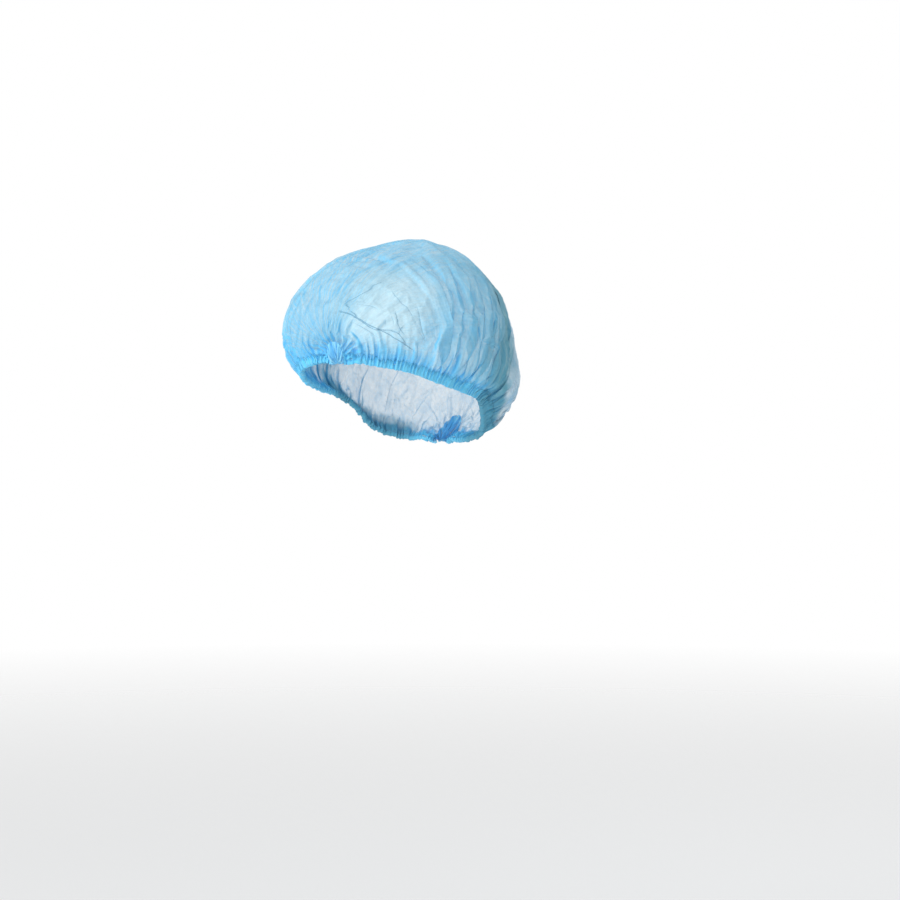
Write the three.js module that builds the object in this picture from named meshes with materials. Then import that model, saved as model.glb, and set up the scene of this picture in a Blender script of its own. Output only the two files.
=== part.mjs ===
// A disposable bouffant cap of thin non-woven cloth, in the shape that it takes when worn.
// One pleated strip arches over the crown from side to side. Its two ends are welded at the brow
// and at the nape, and each long edge is folded round an elastic that gathers it.
// Millimetres, +Z up. The wearer faces -Y, and the wearer's left is +X. The origin is the middle
// of the opening at the hem.
import * as THREE from 'three';

// The strip and its edges
const PLEATS = 40;
const CLOTH_WALL = 1.0;
const HEM_WALL = 1.1;
const CLEARANCE = 0.3;
const PLEAT_DEPTH = { hem: 1.1, crown: 1.25 };
const HEM_HEIGHT = { front: 15.5, side: 11, crest: 0.4 };
const HEM_STRAIGHT = 17;
const ELASTIC_WIDTH = 3.5;
const ELASTIC_FOOT = HEM_WALL + CLEARANCE;
const CROWN_EDGE = ELASTIC_FOOT + ELASTIC_WIDTH + CLEARANCE;
const WELD = { halfWidth: 7, gap: 0.5, reach: 0.86, ridge: 3.2, flank: 0.25, hollow: 0.8, sections: 6 };

// How much the pleats vary in depth along the strip, and how shallow they start at a weld
const UNEVEN = [
  { share: 0.2, turnsPerColumn: 1.7, from: 0 },
  { share: 0.15, turnsPerColumn: 0.63, from: 1 },
];
const WELD_PLEATS = { depth: 0.45, columns: 12 };

// The full dome that the slack cloth fills, about its own middle
const DOME = { halfWidth: 94, halfLength: 113.5, rise: 87, depth: 130, middleY: 10, middleZ: 47.7 };
const CREST_SHIFT = { back: 24, power: 5 };
const POUCH = { out: 14, z: 0, spread: 34 };
const TUCK_LENGTH = 40;

// The mid-line over the head, in degrees of dome: level brow 0, top 90, level back 180
const BROW_ANGLE = -1;
const NAPE_ANGLE = 213;
const ARCH_START = -25;
const ARCH_STEPS = 48;
const NORMAL_STEP = { station: 0.004, up: 0.5 };
const ROWS_PER_SIDE = 11;

// The lower edge of the hem from brow to nape: half-width, distance back and height
const HEM_LINE = [
  { side: 0, back: -86, height: 30 },
  { side: 29, back: -80, height: 28 },
  { side: 53, back: -61, height: 22 },
  { side: 67, back: -34, height: 12 },
  { side: 72, back: -2, height: 4 },
  { side: 69.5, back: 26, height: -3 },
  { side: 63, back: 43, height: -14 },
  { side: 57, back: 55, height: -29 },
  { side: 43, back: 69, height: -39 },
  { side: 22, back: 78, height: -42 },
  { side: 0, back: 81, height: -43 },
];

// Folds that stand deeper than the rest, by pleat column from the brow weld
const FOLD_REACH = 1.4;
const DEEP_FOLDS = [
  { column: 16, depth: 1.2 },
  { column: 28, depth: 2.2 },
  { column: 34, depth: 1.2 },
  { column: 46, depth: 1.4 },
  { column: 62, depth: 1.6 },
];

// Where the cloth is drawn smooth over the brow, and the folds that fan out from each weld
const SMOOTH_BROW = { columns: 22, full: 0.6, from: 0.2, to: 0.6, left: 0.3 };
const WELD_FAN = { columns: 9, depth: 1.3 };

const COLOURS = {
  cloth: { color: 0x9ad4f2, roughness: 0.75, metalness: 0 },
  hem: { color: 0x45aee6, roughness: 0.75, metalness: 0 },
  elastic: { color: 0xe9f1f4, roughness: 0.6, metalness: 0 },
  weld: { color: 0x2f93d2, roughness: 0.5, metalness: 0 },
};

const { degToRad, lerp, clamp, smoothstep } = THREE.MathUtils;

// The whole hem as a closed loop, mirrored about the middle plane
function hemLoop() {
  const left = HEM_LINE.map(({ side, back, height }) => new THREE.Vector3(side, back, height));
  const right = left.slice(1, -1).reverse().map(({ x, y, z }) => new THREE.Vector3(-x, y, z));
  return new THREE.CatmullRomCurve3([...left, ...right], true);
}

const HEM_LOOP = hemLoop();
const WELD_SHARE = WELD.halfWidth / HEM_LOOP.getLength();

// The hem's lower edge on the wearer's left, from the brow weld (0) to the nape weld (1)
function hemPoint(station) {
  return HEM_LOOP.getPointAt(lerp(WELD_SHARE, 0.5 - WELD_SHARE, station));
}

// The point of the full dome in a direction, with the crest drawn back and the slack pouch behind
function domePoint(direction) {
  const d = direction.clone().normalize();
  const height = DOME.middleZ + d.z * (d.z > 0 ? DOME.rise : DOME.depth);
  const crest = CREST_SHIFT.back * Math.max(0, d.z) ** CREST_SHIFT.power;
  const behind = Math.sin((Math.PI / 2) * Math.max(0, d.y));
  const slack = POUCH.out * behind * Math.exp(-(((height - POUCH.z) / POUCH.spread) ** 2));
  const around = Math.hypot(d.x, d.y) || 1;
  return new THREE.Vector3(
    DOME.halfWidth * d.x + (slack * d.x) / around,
    DOME.middleY + DOME.halfLength * d.y + crest + (slack * d.y) / around,
    height,
  );
}

// The direction of a point as the dome sees it from its middle
function domeDirection({ x, y, z }) {
  const above = z - DOME.middleZ;
  return new THREE.Vector3(
    x / DOME.halfWidth,
    (y - DOME.middleY) / DOME.halfLength,
    above / (above > 0 ? DOME.rise : DOME.depth),
  ).normalize();
}

// One pleat line from the left hem up to the mid-line, with the length run at each of its points
function halfArch(station) {
  const hem = hemPoint(station);
  const start = domeDirection(hem);
  const angle = degToRad(lerp(BROW_ANGLE, NAPE_ANGLE, station));
  const top = new THREE.Vector3(0, -Math.cos(angle), Math.sin(angle));
  const startSine = Math.sin(degToRad(ARCH_START));
  const startCosine = Math.cos(degToRad(ARCH_START));
  const points = [];
  for (let k = 0; k <= ARCH_STEPS; k += 1) {
    const turn = degToRad(lerp(ARCH_START, 90, k / ARCH_STEPS));
    const share = (Math.sin(turn) - startSine) / (1 - startSine);
    const direction = start.clone().lerp(top, share);
    direction.x = (start.x * Math.cos(turn)) / startCosine;
    points.push(domePoint(direction));
  }
  return tuckToHem(points, hem);
}

// Draws the lower part of a pleat line in from the dome to the hem
function tuckToHem(points, hem) {
  const run = runLengths(points);
  const half = run[run.length - 1];
  const offset = hem.clone().sub(points[0]);
  const tucked = points.map((point, k) => {
    const fromHem = ((2 * half) / Math.PI) * Math.sin((Math.PI * run[k]) / (2 * half));
    const fade = 1 - Math.sin((Math.PI / 2) * Math.min(1, fromHem / TUCK_LENGTH));
    const shift = offset.clone().multiplyScalar(fade);
    shift.x *= 1 - run[k] / half;
    return point.clone().add(shift);
  });
  return { points: tucked, run: runLengths(tucked) };
}

function runLengths(points) {
  const run = [0];
  for (let k = 1; k < points.length; k += 1) {
    run.push(run[k - 1] + points[k].distanceTo(points[k - 1]));
  }
  return run;
}

function pointAlong({ points, run }, distance) {
  let k = 1;
  while (k < run.length - 1 && run[k] < distance) k += 1;
  return points[k - 1].clone().lerp(points[k], (distance - run[k - 1]) / (run[k] - run[k - 1]));
}

// A point of the smooth cloth at a distance up from the hem's lower edge. The hem band is straight.
function clothPoint(arch, distance) {
  if (distance >= HEM_STRAIGHT) return pointAlong(arch, distance);
  return arch.points[0].clone().lerp(pointAlong(arch, HEM_STRAIGHT), distance / HEM_STRAIGHT);
}

// The cloth's outward direction there, from its neighbours along the hem and up the pleat line
function clothNormal(station, rowDistance) {
  const before = halfArch(clamp(station - NORMAL_STEP.station, 0, 1));
  const after = halfArch(clamp(station + NORMAL_STEP.station, 0, 1));
  const here = halfArch(station);
  const half = here.run[here.run.length - 1];
  const along = clothPoint(after, rowDistance(after)).sub(clothPoint(before, rowDistance(before)));
  const distance = rowDistance(here);
  const above = Math.min(distance + NORMAL_STEP.up, half);
  const up = clothPoint(here, above).sub(clothPoint(here, above - 2 * NORMAL_STEP.up));
  if (distance >= half) up.set(-1, 0, 0);
  return along.cross(up).normalize();
}

const columnsFromWeld = (column) => Math.min(column, 2 * PLEATS - column);

// The side-to-side crests and valleys of the pleats, with some deeper than others
function pleatHeight(column, upShare) {
  const depth = lerp(PLEAT_DEPTH.hem, PLEAT_DEPTH.crown, Math.sin((Math.PI / 2) * upShare));
  const varied = UNEVEN.map((wave) => wave.share * Math.sin(wave.turnsPerColumn * column + wave.from));
  const uneven = varied.reduce((sum, wave) => sum + wave, 1);
  const nearWeld = Math.min(1, WELD_PLEATS.depth + columnsFromWeld(column) / WELD_PLEATS.columns);
  const brow = smoothstep(1 - column / SMOOTH_BROW.columns, 0, SMOOTH_BROW.full);
  const drawn = brow * smoothstep(upShare, SMOOTH_BROW.from, SMOOTH_BROW.to);
  const fold = DEEP_FOLDS.find((row) => row.column === column);
  const extra = fold ? fold.depth * Math.sin(Math.PI * Math.min(1, upShare * FOLD_REACH)) : 0;
  const side = column % 2 ? -1 : 1;
  return side * depth * uneven * nearWeld * lerp(1, SMOOTH_BROW.left, drawn) + extra;
}

// The folds that fan out from the nearer weld, by row up the pleat line
function fanHeight(column, row) {
  const fade = Math.max(0, 1 - columnsFromWeld(column) / WELD_FAN.columns);
  return (row % 2 ? 1 : -1) * WELD_FAN.depth * fade;
}

// A point at a pleat column, up the cloth by rowDistance and outward by the offset
function pleatedPoint(column, rowDistance, outward) {
  const station = column / (2 * PLEATS);
  const arch = halfArch(station);
  const distance = rowDistance(arch);
  const normal = clothNormal(station, rowDistance);
  const aboveBand = arch.run[arch.run.length - 1] - HEM_STRAIGHT;
  const upShare = Math.max(0, distance - HEM_STRAIGHT) / aboveBand;
  const lift = outward + pleatHeight(column, upShare);
  return clothPoint(arch, distance).addScaledVector(normal, lift);
}

const mirrored = ({ x, y, z }) => new THREE.Vector3(-x, y, z);

// Joins loops of points into one closed solid. Each loop is a ribbon, out along one face and back
// along the other, so that the end faces close from edge to edge.
function ribbonSolid(loops) {
  const count = loops[0].length;
  const positions = loops.flat().flatMap(({ x, y, z }) => [x, y, z]);
  const index = [];
  for (let i = 0; i < loops.length - 1; i += 1) {
    for (let k = 0; k < count; k += 1) {
      const a = i * count + k;
      const b = i * count + ((k + 1) % count);
      index.push(a, a + count, b + count, a, b + count, b);
    }
  }
  const last = (loops.length - 1) * count;
  for (let k = 0; k < count / 2 - 1; k += 1) {
    const across = count - 1 - k;
    index.push(k, k + 1, across - 1, k, across - 1, across);
    index.push(last + k, last + across - 1, last + k + 1, last + k, last + across, last + across - 1);
  }
  const geometry = new THREE.BufferGeometry();
  geometry.setAttribute('position', new THREE.Float32BufferAttribute(positions, 3));
  geometry.setIndex(enclosedVolume(positions, index) < 0 ? index.reverse() : index);
  return geometry;
}

function enclosedVolume(positions, index) {
  const corner = (k) => new THREE.Vector3().fromArray(positions, 3 * index[k]);
  let volume = 0;
  for (let k = 0; k < index.length; k += 3) {
    volume += corner(k).dot(corner(k + 1).cross(corner(k + 2))) / 6;
  }
  return volume;
}

const COLUMNS = Array.from({ length: 2 * PLEATS + 1 }, (_, column) => column);

// The crown's rows: its edge in the hem, the top of the straight band, then even steps to the top
function crownRow(row) {
  return (arch) => {
    const half = arch.run[arch.run.length - 1];
    if (row === 0) return CROWN_EDGE;
    return Math.min(lerp(HEM_STRAIGHT, half, (row - 1) / (ROWS_PER_SIDE - 1)), half);
  };
}

function crownGeometry() {
  const face = (column, outward) => {
    const left = [];
    for (let row = 0; row <= ROWS_PER_SIDE; row += 1) {
      const fan = row > 1 ? fanHeight(column, row) : 0;
      left.push(pleatedPoint(column, crownRow(row), outward + fan));
    }
    left[ROWS_PER_SIDE].x = 0;
    return [...left.map(mirrored), ...left.slice(0, -1).reverse()];
  };
  const loops = COLUMNS.map((column) => [
    ...face(column, CLOTH_WALL / 2),
    ...face(column, -CLOTH_WALL / 2).reverse(),
  ]);
  return ribbonSolid(loops);
}

// The hem's height at a column: taller ruffles at the brow, and a little more on each crest
function hemHeight(column) {
  const fromBrow = clamp(column / PLEATS, 0, 1);
  const crest = column % 2 ? -HEM_HEIGHT.crest : HEM_HEIGHT.crest;
  return lerp(HEM_HEIGHT.front, HEM_HEIGHT.side, Math.sin((Math.PI / 2) * fromBrow)) + crest;
}

// A folded channel, open upwards, that holds the elastic and the crown's edge
function hemGeometry(place) {
  const inner = CLOTH_WALL / 2 + CLEARANCE;
  const outer = inner + HEM_WALL;
  const loops = COLUMNS.map((column) => {
    const height = hemHeight(column);
    const section = [
      { up: height, out: outer }, { up: 0, out: outer },
      { up: 0, out: -outer }, { up: height, out: -outer },
      { up: height, out: -inner }, { up: HEM_WALL, out: -inner },
      { up: HEM_WALL, out: inner }, { up: height, out: inner },
    ];
    return section.map(({ up, out }) => place(pleatedPoint(column, () => up, out)));
  });
  return ribbonSolid(loops);
}

function elasticGeometry(place) {
  const half = CLOTH_WALL / 2;
  const top = ELASTIC_FOOT + ELASTIC_WIDTH;
  const section = [
    { up: ELASTIC_FOOT, out: half }, { up: top, out: half },
    { up: top, out: -half }, { up: ELASTIC_FOOT, out: -half },
  ];
  const loops = COLUMNS.map((column) =>
    section.map(({ up, out }) => place(pleatedPoint(column, () => up, out))));
  return ribbonSolid(loops);
}

// The pinched end of the strip: a plate that fills the arch at the weld, with a ridge down it
function weldGeometry(station) {
  const arch = halfArch(station);
  const half = arch.run[arch.run.length - 1];
  const loops = [];
  for (let k = 0; k <= WELD.sections; k += 1) {
    const distance = lerp(0, half * WELD.reach, k / WELD.sections);
    const edge = clothPoint(arch, distance);
    const outward = clothNormal(station, () => distance);
    outward.x = 0;
    outward.normalize();
    const width = edge.x - WELD.gap;
    const thick = lerp(CLOTH_WALL / 2 + CLEARANCE + HEM_WALL, CLOTH_WALL / 2, k / WELD.sections);
    const ridge = thick + WELD.ridge * Math.sin((Math.PI * (k + 1)) / (WELD.sections + 2));
    const section = [
      { side: -1, out: thick }, { side: -WELD.flank, out: thick * WELD.hollow },
      { side: 0, out: ridge },
      { side: WELD.flank, out: thick * WELD.hollow }, { side: 1, out: thick },
      { side: 1, out: -thick }, { side: WELD.flank, out: -thick },
      { side: 0, out: -thick },
      { side: -WELD.flank, out: -thick }, { side: -1, out: -thick },
    ];
    loops.push(section.map(({ side, out }) =>
      new THREE.Vector3(side * width, edge.y, edge.z).addScaledVector(outward, out)));
  }
  return ribbonSolid(loops);
}

function piece(name, geometry, finish) {
  const mesh = new THREE.Mesh(geometry, new THREE.MeshStandardMaterial(finish));
  mesh.name = name;
  return mesh;
}

const leftSide = (point) => point;

const cap = new THREE.Group();
cap.add(
  piece('crown', crownGeometry(), COLOURS.cloth),
  piece('hem_left', hemGeometry(leftSide), COLOURS.hem),
  piece('hem_right', hemGeometry(mirrored), COLOURS.hem),
  piece('elastic_left', elasticGeometry(leftSide), COLOURS.elastic),
  piece('elastic_right', elasticGeometry(mirrored), COLOURS.elastic),
  piece('front_weld', weldGeometry(0), COLOURS.weld),
  piece('back_weld', weldGeometry(1), COLOURS.weld),
);

export default cap;
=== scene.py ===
"""A worn disposable bouffant cap of thin blue non-woven cloth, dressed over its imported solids.

The cap is one strip that arches from ear to ear, welded at the brow and at the nape, with each
long edge folded round an elastic. Metres, +Z up, the brow towards -Y.
"""

import logging
import math
from dataclasses import dataclass, field
from enum import Enum, IntEnum
from typing import Sequence

import bmesh
import bpy
import numpy as np
import mathutils
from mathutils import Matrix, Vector


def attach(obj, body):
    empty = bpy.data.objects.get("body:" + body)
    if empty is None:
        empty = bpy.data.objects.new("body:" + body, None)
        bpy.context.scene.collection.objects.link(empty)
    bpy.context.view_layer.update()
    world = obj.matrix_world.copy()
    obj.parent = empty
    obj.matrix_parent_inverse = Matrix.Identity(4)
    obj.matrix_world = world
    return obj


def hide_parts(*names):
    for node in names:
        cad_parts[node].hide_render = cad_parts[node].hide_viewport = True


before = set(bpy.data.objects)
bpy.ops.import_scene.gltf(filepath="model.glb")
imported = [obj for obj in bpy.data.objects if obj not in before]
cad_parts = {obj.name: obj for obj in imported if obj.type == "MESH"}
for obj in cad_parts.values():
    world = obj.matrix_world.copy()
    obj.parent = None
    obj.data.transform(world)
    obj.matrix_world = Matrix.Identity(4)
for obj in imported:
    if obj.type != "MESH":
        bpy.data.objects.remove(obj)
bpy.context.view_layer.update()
LOG = logging.getLogger("cap")
MM = 0.001
Array = np.ndarray


class Side(Enum):
    """The two long edges of the strip, by the sign of X."""

    LEFT = 1
    RIGHT = -1


class Seed(IntEnum):
    """Where each noise or random draw starts, so that every run gives the same cloth."""

    LOOSE_PLEATS = 7
    GATHERS = 11
    MIDDLING_PLEATS = 21
    LONG_PLEATS = 31
    BROAD_PLEATS = 41
    FRONT_FAN = 51
    BACK_FAN = 53
    CRUMPLE_BEND = 61
    CRUMPLE = 62
    MOTTLE = 71
    STREAK_BEND = 72
    FINE_STREAKS = 73
    COARSE_STREAKS = 74
    DENSE_EDGE = 75
    POUCH_EDGE = 76
    LENGTHWISE_EDGE = 77
    HEM_HEIGHT = 81
    HEM_SCALLOP = 87
    HEM_FADE = 88
    WELD_LEAVES = 91
    WELD_RIPPLE = 95
    CREASE_WANDER = 101


def smooth(value: Array, low: float | Array, high: float | Array) -> Array:
    """Rises smoothly from 0 at low to 1 at high."""
    share = np.clip((value - low) / (high - low), 0.0, 1.0)
    return share * share * (3 - 2 * share)


def together(*parts: Array) -> Array:
    """Coordinates brought to one grid, the last axis holding one of each."""
    return np.stack(np.broadcast_arrays(*parts), -1)


@dataclass(frozen=True)
class Cloudy:
    """Smooth seeded noise over two cloth coordinates, from about -1 to 1."""

    seed: int
    size: int = 64
    octave_shift: tuple[float, float] = (17.3, 5.1)
    gain: float = 1.4

    def at(self, x: Array, y: Array | float = 0.0, octaves: int = 1) -> Array:
        """Returns the noise at each point.

        Args:
            x: First coordinate, one lattice cell a unit.
            y: Second coordinate.
            octaves: How many layers are added, each twice as fine and half as strong as the last.

        Returns:
            An array of the points' shape.
        """
        lattice = np.random.default_rng(self.seed).uniform(-1, 1, (self.size, self.size))
        total, weight = np.zeros(np.broadcast(x, y).shape), 0.0
        for octave in range(octaves):
            scale, share = 2.0**octave, 0.5**octave
            px = x * scale + self.octave_shift[0] * octave
            py = y * scale + self.octave_shift[1] * octave
            ix, iy = np.floor(px).astype(int), np.floor(py).astype(int)
            fx, fy = px - ix, py - iy
            fx, fy = fx**3 * (fx * (fx * 6 - 15) + 10), fy**3 * (fy * (fy * 6 - 15) + 10)
            near, far = (lattice[ix % self.size, (iy + j) % self.size] * (1 - fx)
                         + lattice[(ix + 1) % self.size, (iy + j) % self.size] * fx for j in (0, 1))
            total += share * (near * (1 - fy) + far * fy)
            weight += share
        return total / weight * self.gain


HEM_LINE_MM = (
    # half-width, distance back, height of the hem's lower edge, from brow to nape
    (0, -86, 30), (29, -80, 28), (53, -61, 22), (67, -34, 12), (72, -2, 4), (69.5, 26, -3),
    (63, 43, -14), (57, 55, -29), (43, 69, -39), (22, 78, -42), (0, 81, -43),
)


@dataclass
class WornForm:
    """The smooth surface that the cloth fills over the head, as the solids are built."""

    half_width: float = 94 * MM
    half_length: float = 113.5 * MM
    rise: float = 87 * MM
    depth: float = 130 * MM
    middle_y: float = 10 * MM
    middle_z: float = 47.7 * MM
    crest_back: float = 24 * MM
    crest_power: int = 5
    pouch_out: float = 14 * MM
    pouch_spread: float = 34 * MM
    tuck: float = 40 * MM
    weld_half_width: float = 7 * MM
    band: float = 17 * MM
    brow_angle: float = math.radians(-1)
    nape_angle: float = math.radians(213)
    arch_start: float = math.radians(-25)
    arch_steps: int = 96

    def hem(self, station: Array) -> Array:
        """Points of the left hem's lower edge.

        Args:
            station: 0 at the brow weld to 1 at the nape weld.

        Returns:
            One point for each station.
        """
        rows = np.array(HEM_LINE_MM, float) * MM
        mirror = rows[1:-1][::-1] * (-1, 1, 1)
        loop = np.concatenate([rows, mirror])
        path = closed_curve(loop, 60)
        run = run_lengths(path[None])[0]
        share = self.weld_half_width / run[-1]
        wanted = (share + (0.5 - 2 * share) * station) * run[-1]
        return np.stack([np.interp(wanted, run, path[:, k]) for k in range(3)], 1)

    def dome(self, direction: Array) -> Array:
        """The points of the full dome.

        Args:
            direction: The way to each point from the dome's middle, of any length.

        Returns:
            One point for each direction.
        """
        d = direction / np.linalg.norm(direction, axis=-1, keepdims=True)
        x, y, z = d[..., 0], d[..., 1], d[..., 2]
        height = self.middle_z + z * np.where(z > 0, self.rise, self.depth)
        crest = self.crest_back * np.maximum(0, z) ** self.crest_power
        behind = np.sin(np.pi / 2 * np.maximum(0, y))
        slack = self.pouch_out * behind * np.exp(-((height / self.pouch_spread) ** 2))
        around = np.maximum(np.hypot(x, y), 1e-9)
        return np.stack([
            self.half_width * x + slack * x / around,
            self.middle_y + self.half_length * y + crest + slack * y / around,
            height,
        ], -1)

    def half_arches(self, station: Array) -> Array:
        """Pleat lines from the left hem up to the mid-line.

        Args:
            station: 0 at the brow weld to 1 at the nape weld.

        Returns:
            One row of points for each station.
        """
        hem = self.hem(station)
        above = hem[:, 2] - self.middle_z
        start = np.stack([
            hem[:, 0] / self.half_width,
            (hem[:, 1] - self.middle_y) / self.half_length,
            above / np.where(above > 0, self.rise, self.depth),
        ], 1)
        start /= np.linalg.norm(start, axis=1, keepdims=True)
        angle = self.brow_angle + (self.nape_angle - self.brow_angle) * station
        top = np.stack([0 * angle, -np.cos(angle), np.sin(angle)], 1)
        turn = np.linspace(self.arch_start, math.pi / 2, self.arch_steps + 1)
        share = (np.sin(turn) - math.sin(self.arch_start)) / (1 - math.sin(self.arch_start))
        direction = start[:, None] + (top - start)[:, None] * share[None, :, None]
        direction[..., 0] = start[:, None, 0] * np.cos(turn) / math.cos(self.arch_start)
        points = self.dome(direction)
        run = run_lengths(points)
        half = run[:, -1:]
        from_hem = 2 * half / np.pi * np.sin(np.pi * run / (2 * half))
        fade = 1 - np.sin(np.pi / 2 * np.minimum(1, from_hem / self.tuck))
        shift = (hem - points[:, 0])[:, None] * fade[..., None]
        shift[..., 0] *= 1 - run / half
        return points + shift


def closed_curve(rows: Array, steps: int) -> Array:
    """A centripetal curve through a closed loop.

    Args:
        rows: The loop's points, in order.
        steps: How many points are made between two of them.

    Returns:
        The curve's points, back to the first.
    """
    count, out = len(rows), []
    for i in range(count):
        p0, p1, p2, p3 = (rows[(i + k - 1) % count] for k in range(4))
        d0, d1, d2 = (np.linalg.norm(b - a) ** 0.5 for a, b in ((p0, p1), (p1, p2), (p2, p3)))
        m1 = ((p1 - p0) / d0 - (p2 - p0) / (d0 + d1) + (p2 - p1) / d1) * d1
        m2 = ((p2 - p1) / d1 - (p3 - p1) / (d1 + d2) + (p3 - p2) / d2) * d1
        t = np.linspace(0, 1, steps, endpoint=False)[:, None]
        out.append((2 * t**3 - 3 * t**2 + 1) * p1 + (t**3 - 2 * t**2 + t) * m1
                   + (3 * t**2 - 2 * t**3) * p2 + (t**3 - t**2) * m2)
    return np.concatenate([*out, rows[:1]])


def run_lengths(lines: Array) -> Array:
    """The length run along each row of points."""
    steps = np.linalg.norm(np.diff(lines, axis=1), axis=2)
    return np.concatenate([np.zeros((len(lines), 1)), np.cumsum(steps, axis=1)], axis=1)


def unit(vectors: Array) -> Array:
    """The vectors at length one."""
    return vectors / np.maximum(np.linalg.norm(vectors, axis=-1, keepdims=True), 1e-12)


def sample_rows(lines: Array, run: Array, wanted: Array) -> Array:
    """Points along each row of points.

    Args:
        lines: The rows of points.
        run: The length run to each of them.
        wanted: The lengths at which points are wanted, one row for each line.

    Returns:
        The points.
    """
    out = np.empty(wanted.shape + (3,))
    for i, (line, lengths) in enumerate(zip(lines, run)):
        for k in range(3):
            out[i, :, k] = np.interp(wanted[i], lengths, line[:, k])
    return out


def surface_normals(points: Array) -> Array:
    """Unit normals of a grid of points, from its own rows and columns."""
    return unit(np.cross(np.gradient(points, axis=0), np.gradient(points, axis=1)))


@dataclass
class ClothPatch:
    """Cloth coordinates laid on the smooth worn form.

    station has one value a column, from weld to weld. up holds each point's distance from the
    hem's lower edge, one line of points a column, and side the sign of X of each row.
    """

    form: WornForm
    station: Array
    up: Array
    side: Array
    points: Array = field(init=False)
    normal: Array = field(init=False)
    along: Array = field(init=False)
    half: Array = field(init=False)

    def __post_init__(self) -> None:
        """Places every point, and works out the outward and lengthwise directions."""
        arches = self.form.half_arches(self.station)
        run = run_lengths(arches)
        self.half = run[:, -1:]
        up = np.minimum(self.up, self.half)
        reach = self.form.band
        upper = sample_rows(arches, run, np.maximum(up, reach))
        foot = arches[:, :1]
        straight = foot + (upper - foot) * (up / reach)[..., None]
        self.points = np.where((up < reach)[..., None], straight, upper)
        self.points[..., 0] *= self.side
        self.along = unit(np.gradient(self.points, axis=0))
        self.normal = surface_normals(self.points)
        outward = self.points - np.array([0, self.form.middle_y, self.form.middle_z])
        if np.sum(self.normal * outward) < 0:
            self.normal = -self.normal

    @property
    def across(self) -> Array:
        """Distance from the mid-line, left positive."""
        return self.side * (self.half - np.minimum(self.up, self.half))

    @property
    def share(self) -> Array:
        """Place across the strip, from -1 at the right hem to 1 at the left."""
        return self.across / self.half


@dataclass(frozen=True)
class PleatSet:
    """Gathers of one size that run up from the hem, merge and fade."""

    count: float
    height: float
    reach: float
    left_over: float
    wander: float
    seed: int
    drift_pleats: float = 3.2
    drift_across: float = 0.034
    uneven_share: float = 0.55
    uneven_pleats: float = 1.7
    uneven_across: float = 0.026
    strongest: float = 1.5
    lean_share: float = 0.32

    def fold(self, patch: ClothPatch) -> tuple[Array, Array]:
        """How far the gathers lift the cloth, and push it along the hem.

        Args:
            patch: The cloth that they lie in.

        Returns:
            The rise along the outward normal and the lean towards the nape, in metres.
        """
        station, across = patch.station[:, None], patch.across
        pleat = station * self.count
        drift = Cloudy(self.seed).at(pleat / self.drift_pleats, across / self.drift_across)
        phase = 2 * np.pi * self.count * (station + self.wander * drift)
        noise = Cloudy(self.seed + 1).at(pleat / self.uneven_pleats, across / self.uneven_across)
        fade = self.left_over + (1 - self.left_over) * np.exp(-((patch.up / self.reach) ** 2))
        strength = np.clip(fade * (1 + self.uneven_share * noise), 0, self.strongest)
        rise = self.height * strength * np.cos(phase)
        lean = self.lean_share * self.height * strength**2 * np.sin(2 * phase)
        return rise, lean


@dataclass(frozen=True)
class Tuck:
    """A pleat laid over on itself, so that three layers of cloth lie there."""

    station: float
    drift: float
    side: int
    width: float
    lap: float
    low: float
    high: float
    step: float = 0.7 * MM
    drift_run: float = 0.1
    soft_end: float = 0.012
    above_hem: tuple[float, float] = (10 * MM, 26 * MM)
    fade_from: float = 0.45
    pull: float = 1.65

    def fold(self, patch: ClothPatch, length: float) -> tuple[Array, Array]:
        """The rise and lean that lay the pleat over.

        Args:
            patch: The cloth that it lies in.
            length: Flat length of the strip, in metres.

        Returns:
            The rise and the lean, in metres.
        """
        line = self.station + self.drift * patch.up / self.drift_run
        place = (patch.station[:, None] - line) * length / self.width
        fade = smooth(patch.up, self.low - self.soft_end, self.low + self.soft_end)
        fade = fade * smooth(patch.up, *self.above_hem)
        fade = fade * (1 - smooth(patch.up, self.fade_from * self.high, self.high))
        fade = fade * (patch.side == self.side)
        shear = self.pull * place * np.exp(-place * place / 2) * fade
        return -self.step * shear, -self.lap * shear


LAID_PLEATS = (
    # station, drift for 100 mm up, side, then width, lap, low end and high end in mm
    (0.306, 0.006, 1, 3.2, 4.6, 8, 150),
    (0.322, -0.016, 1, 2.4, 3.0, 8, 80),
    (0.376, 0.040, 1, 2.6, 3.8, 8, 140),
    (0.402, -0.010, 1, 2.2, 2.6, 8, 70),
    (0.436, 0.055, 1, 2.6, 3.8, 8, 150),
    (0.470, 0.030, 1, 2.4, 3.4, 8, 120),
    (0.500, 0.060, 1, 2.8, 4.0, 8, 160),
    (0.540, 0.020, 1, 2.6, 3.6, 8, 110),
    (0.575, 0.030, 1, 3.0, 4.4, 8, 150),
    (0.610, 0.010, 1, 2.8, 3.8, 8, 120),
)

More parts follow.
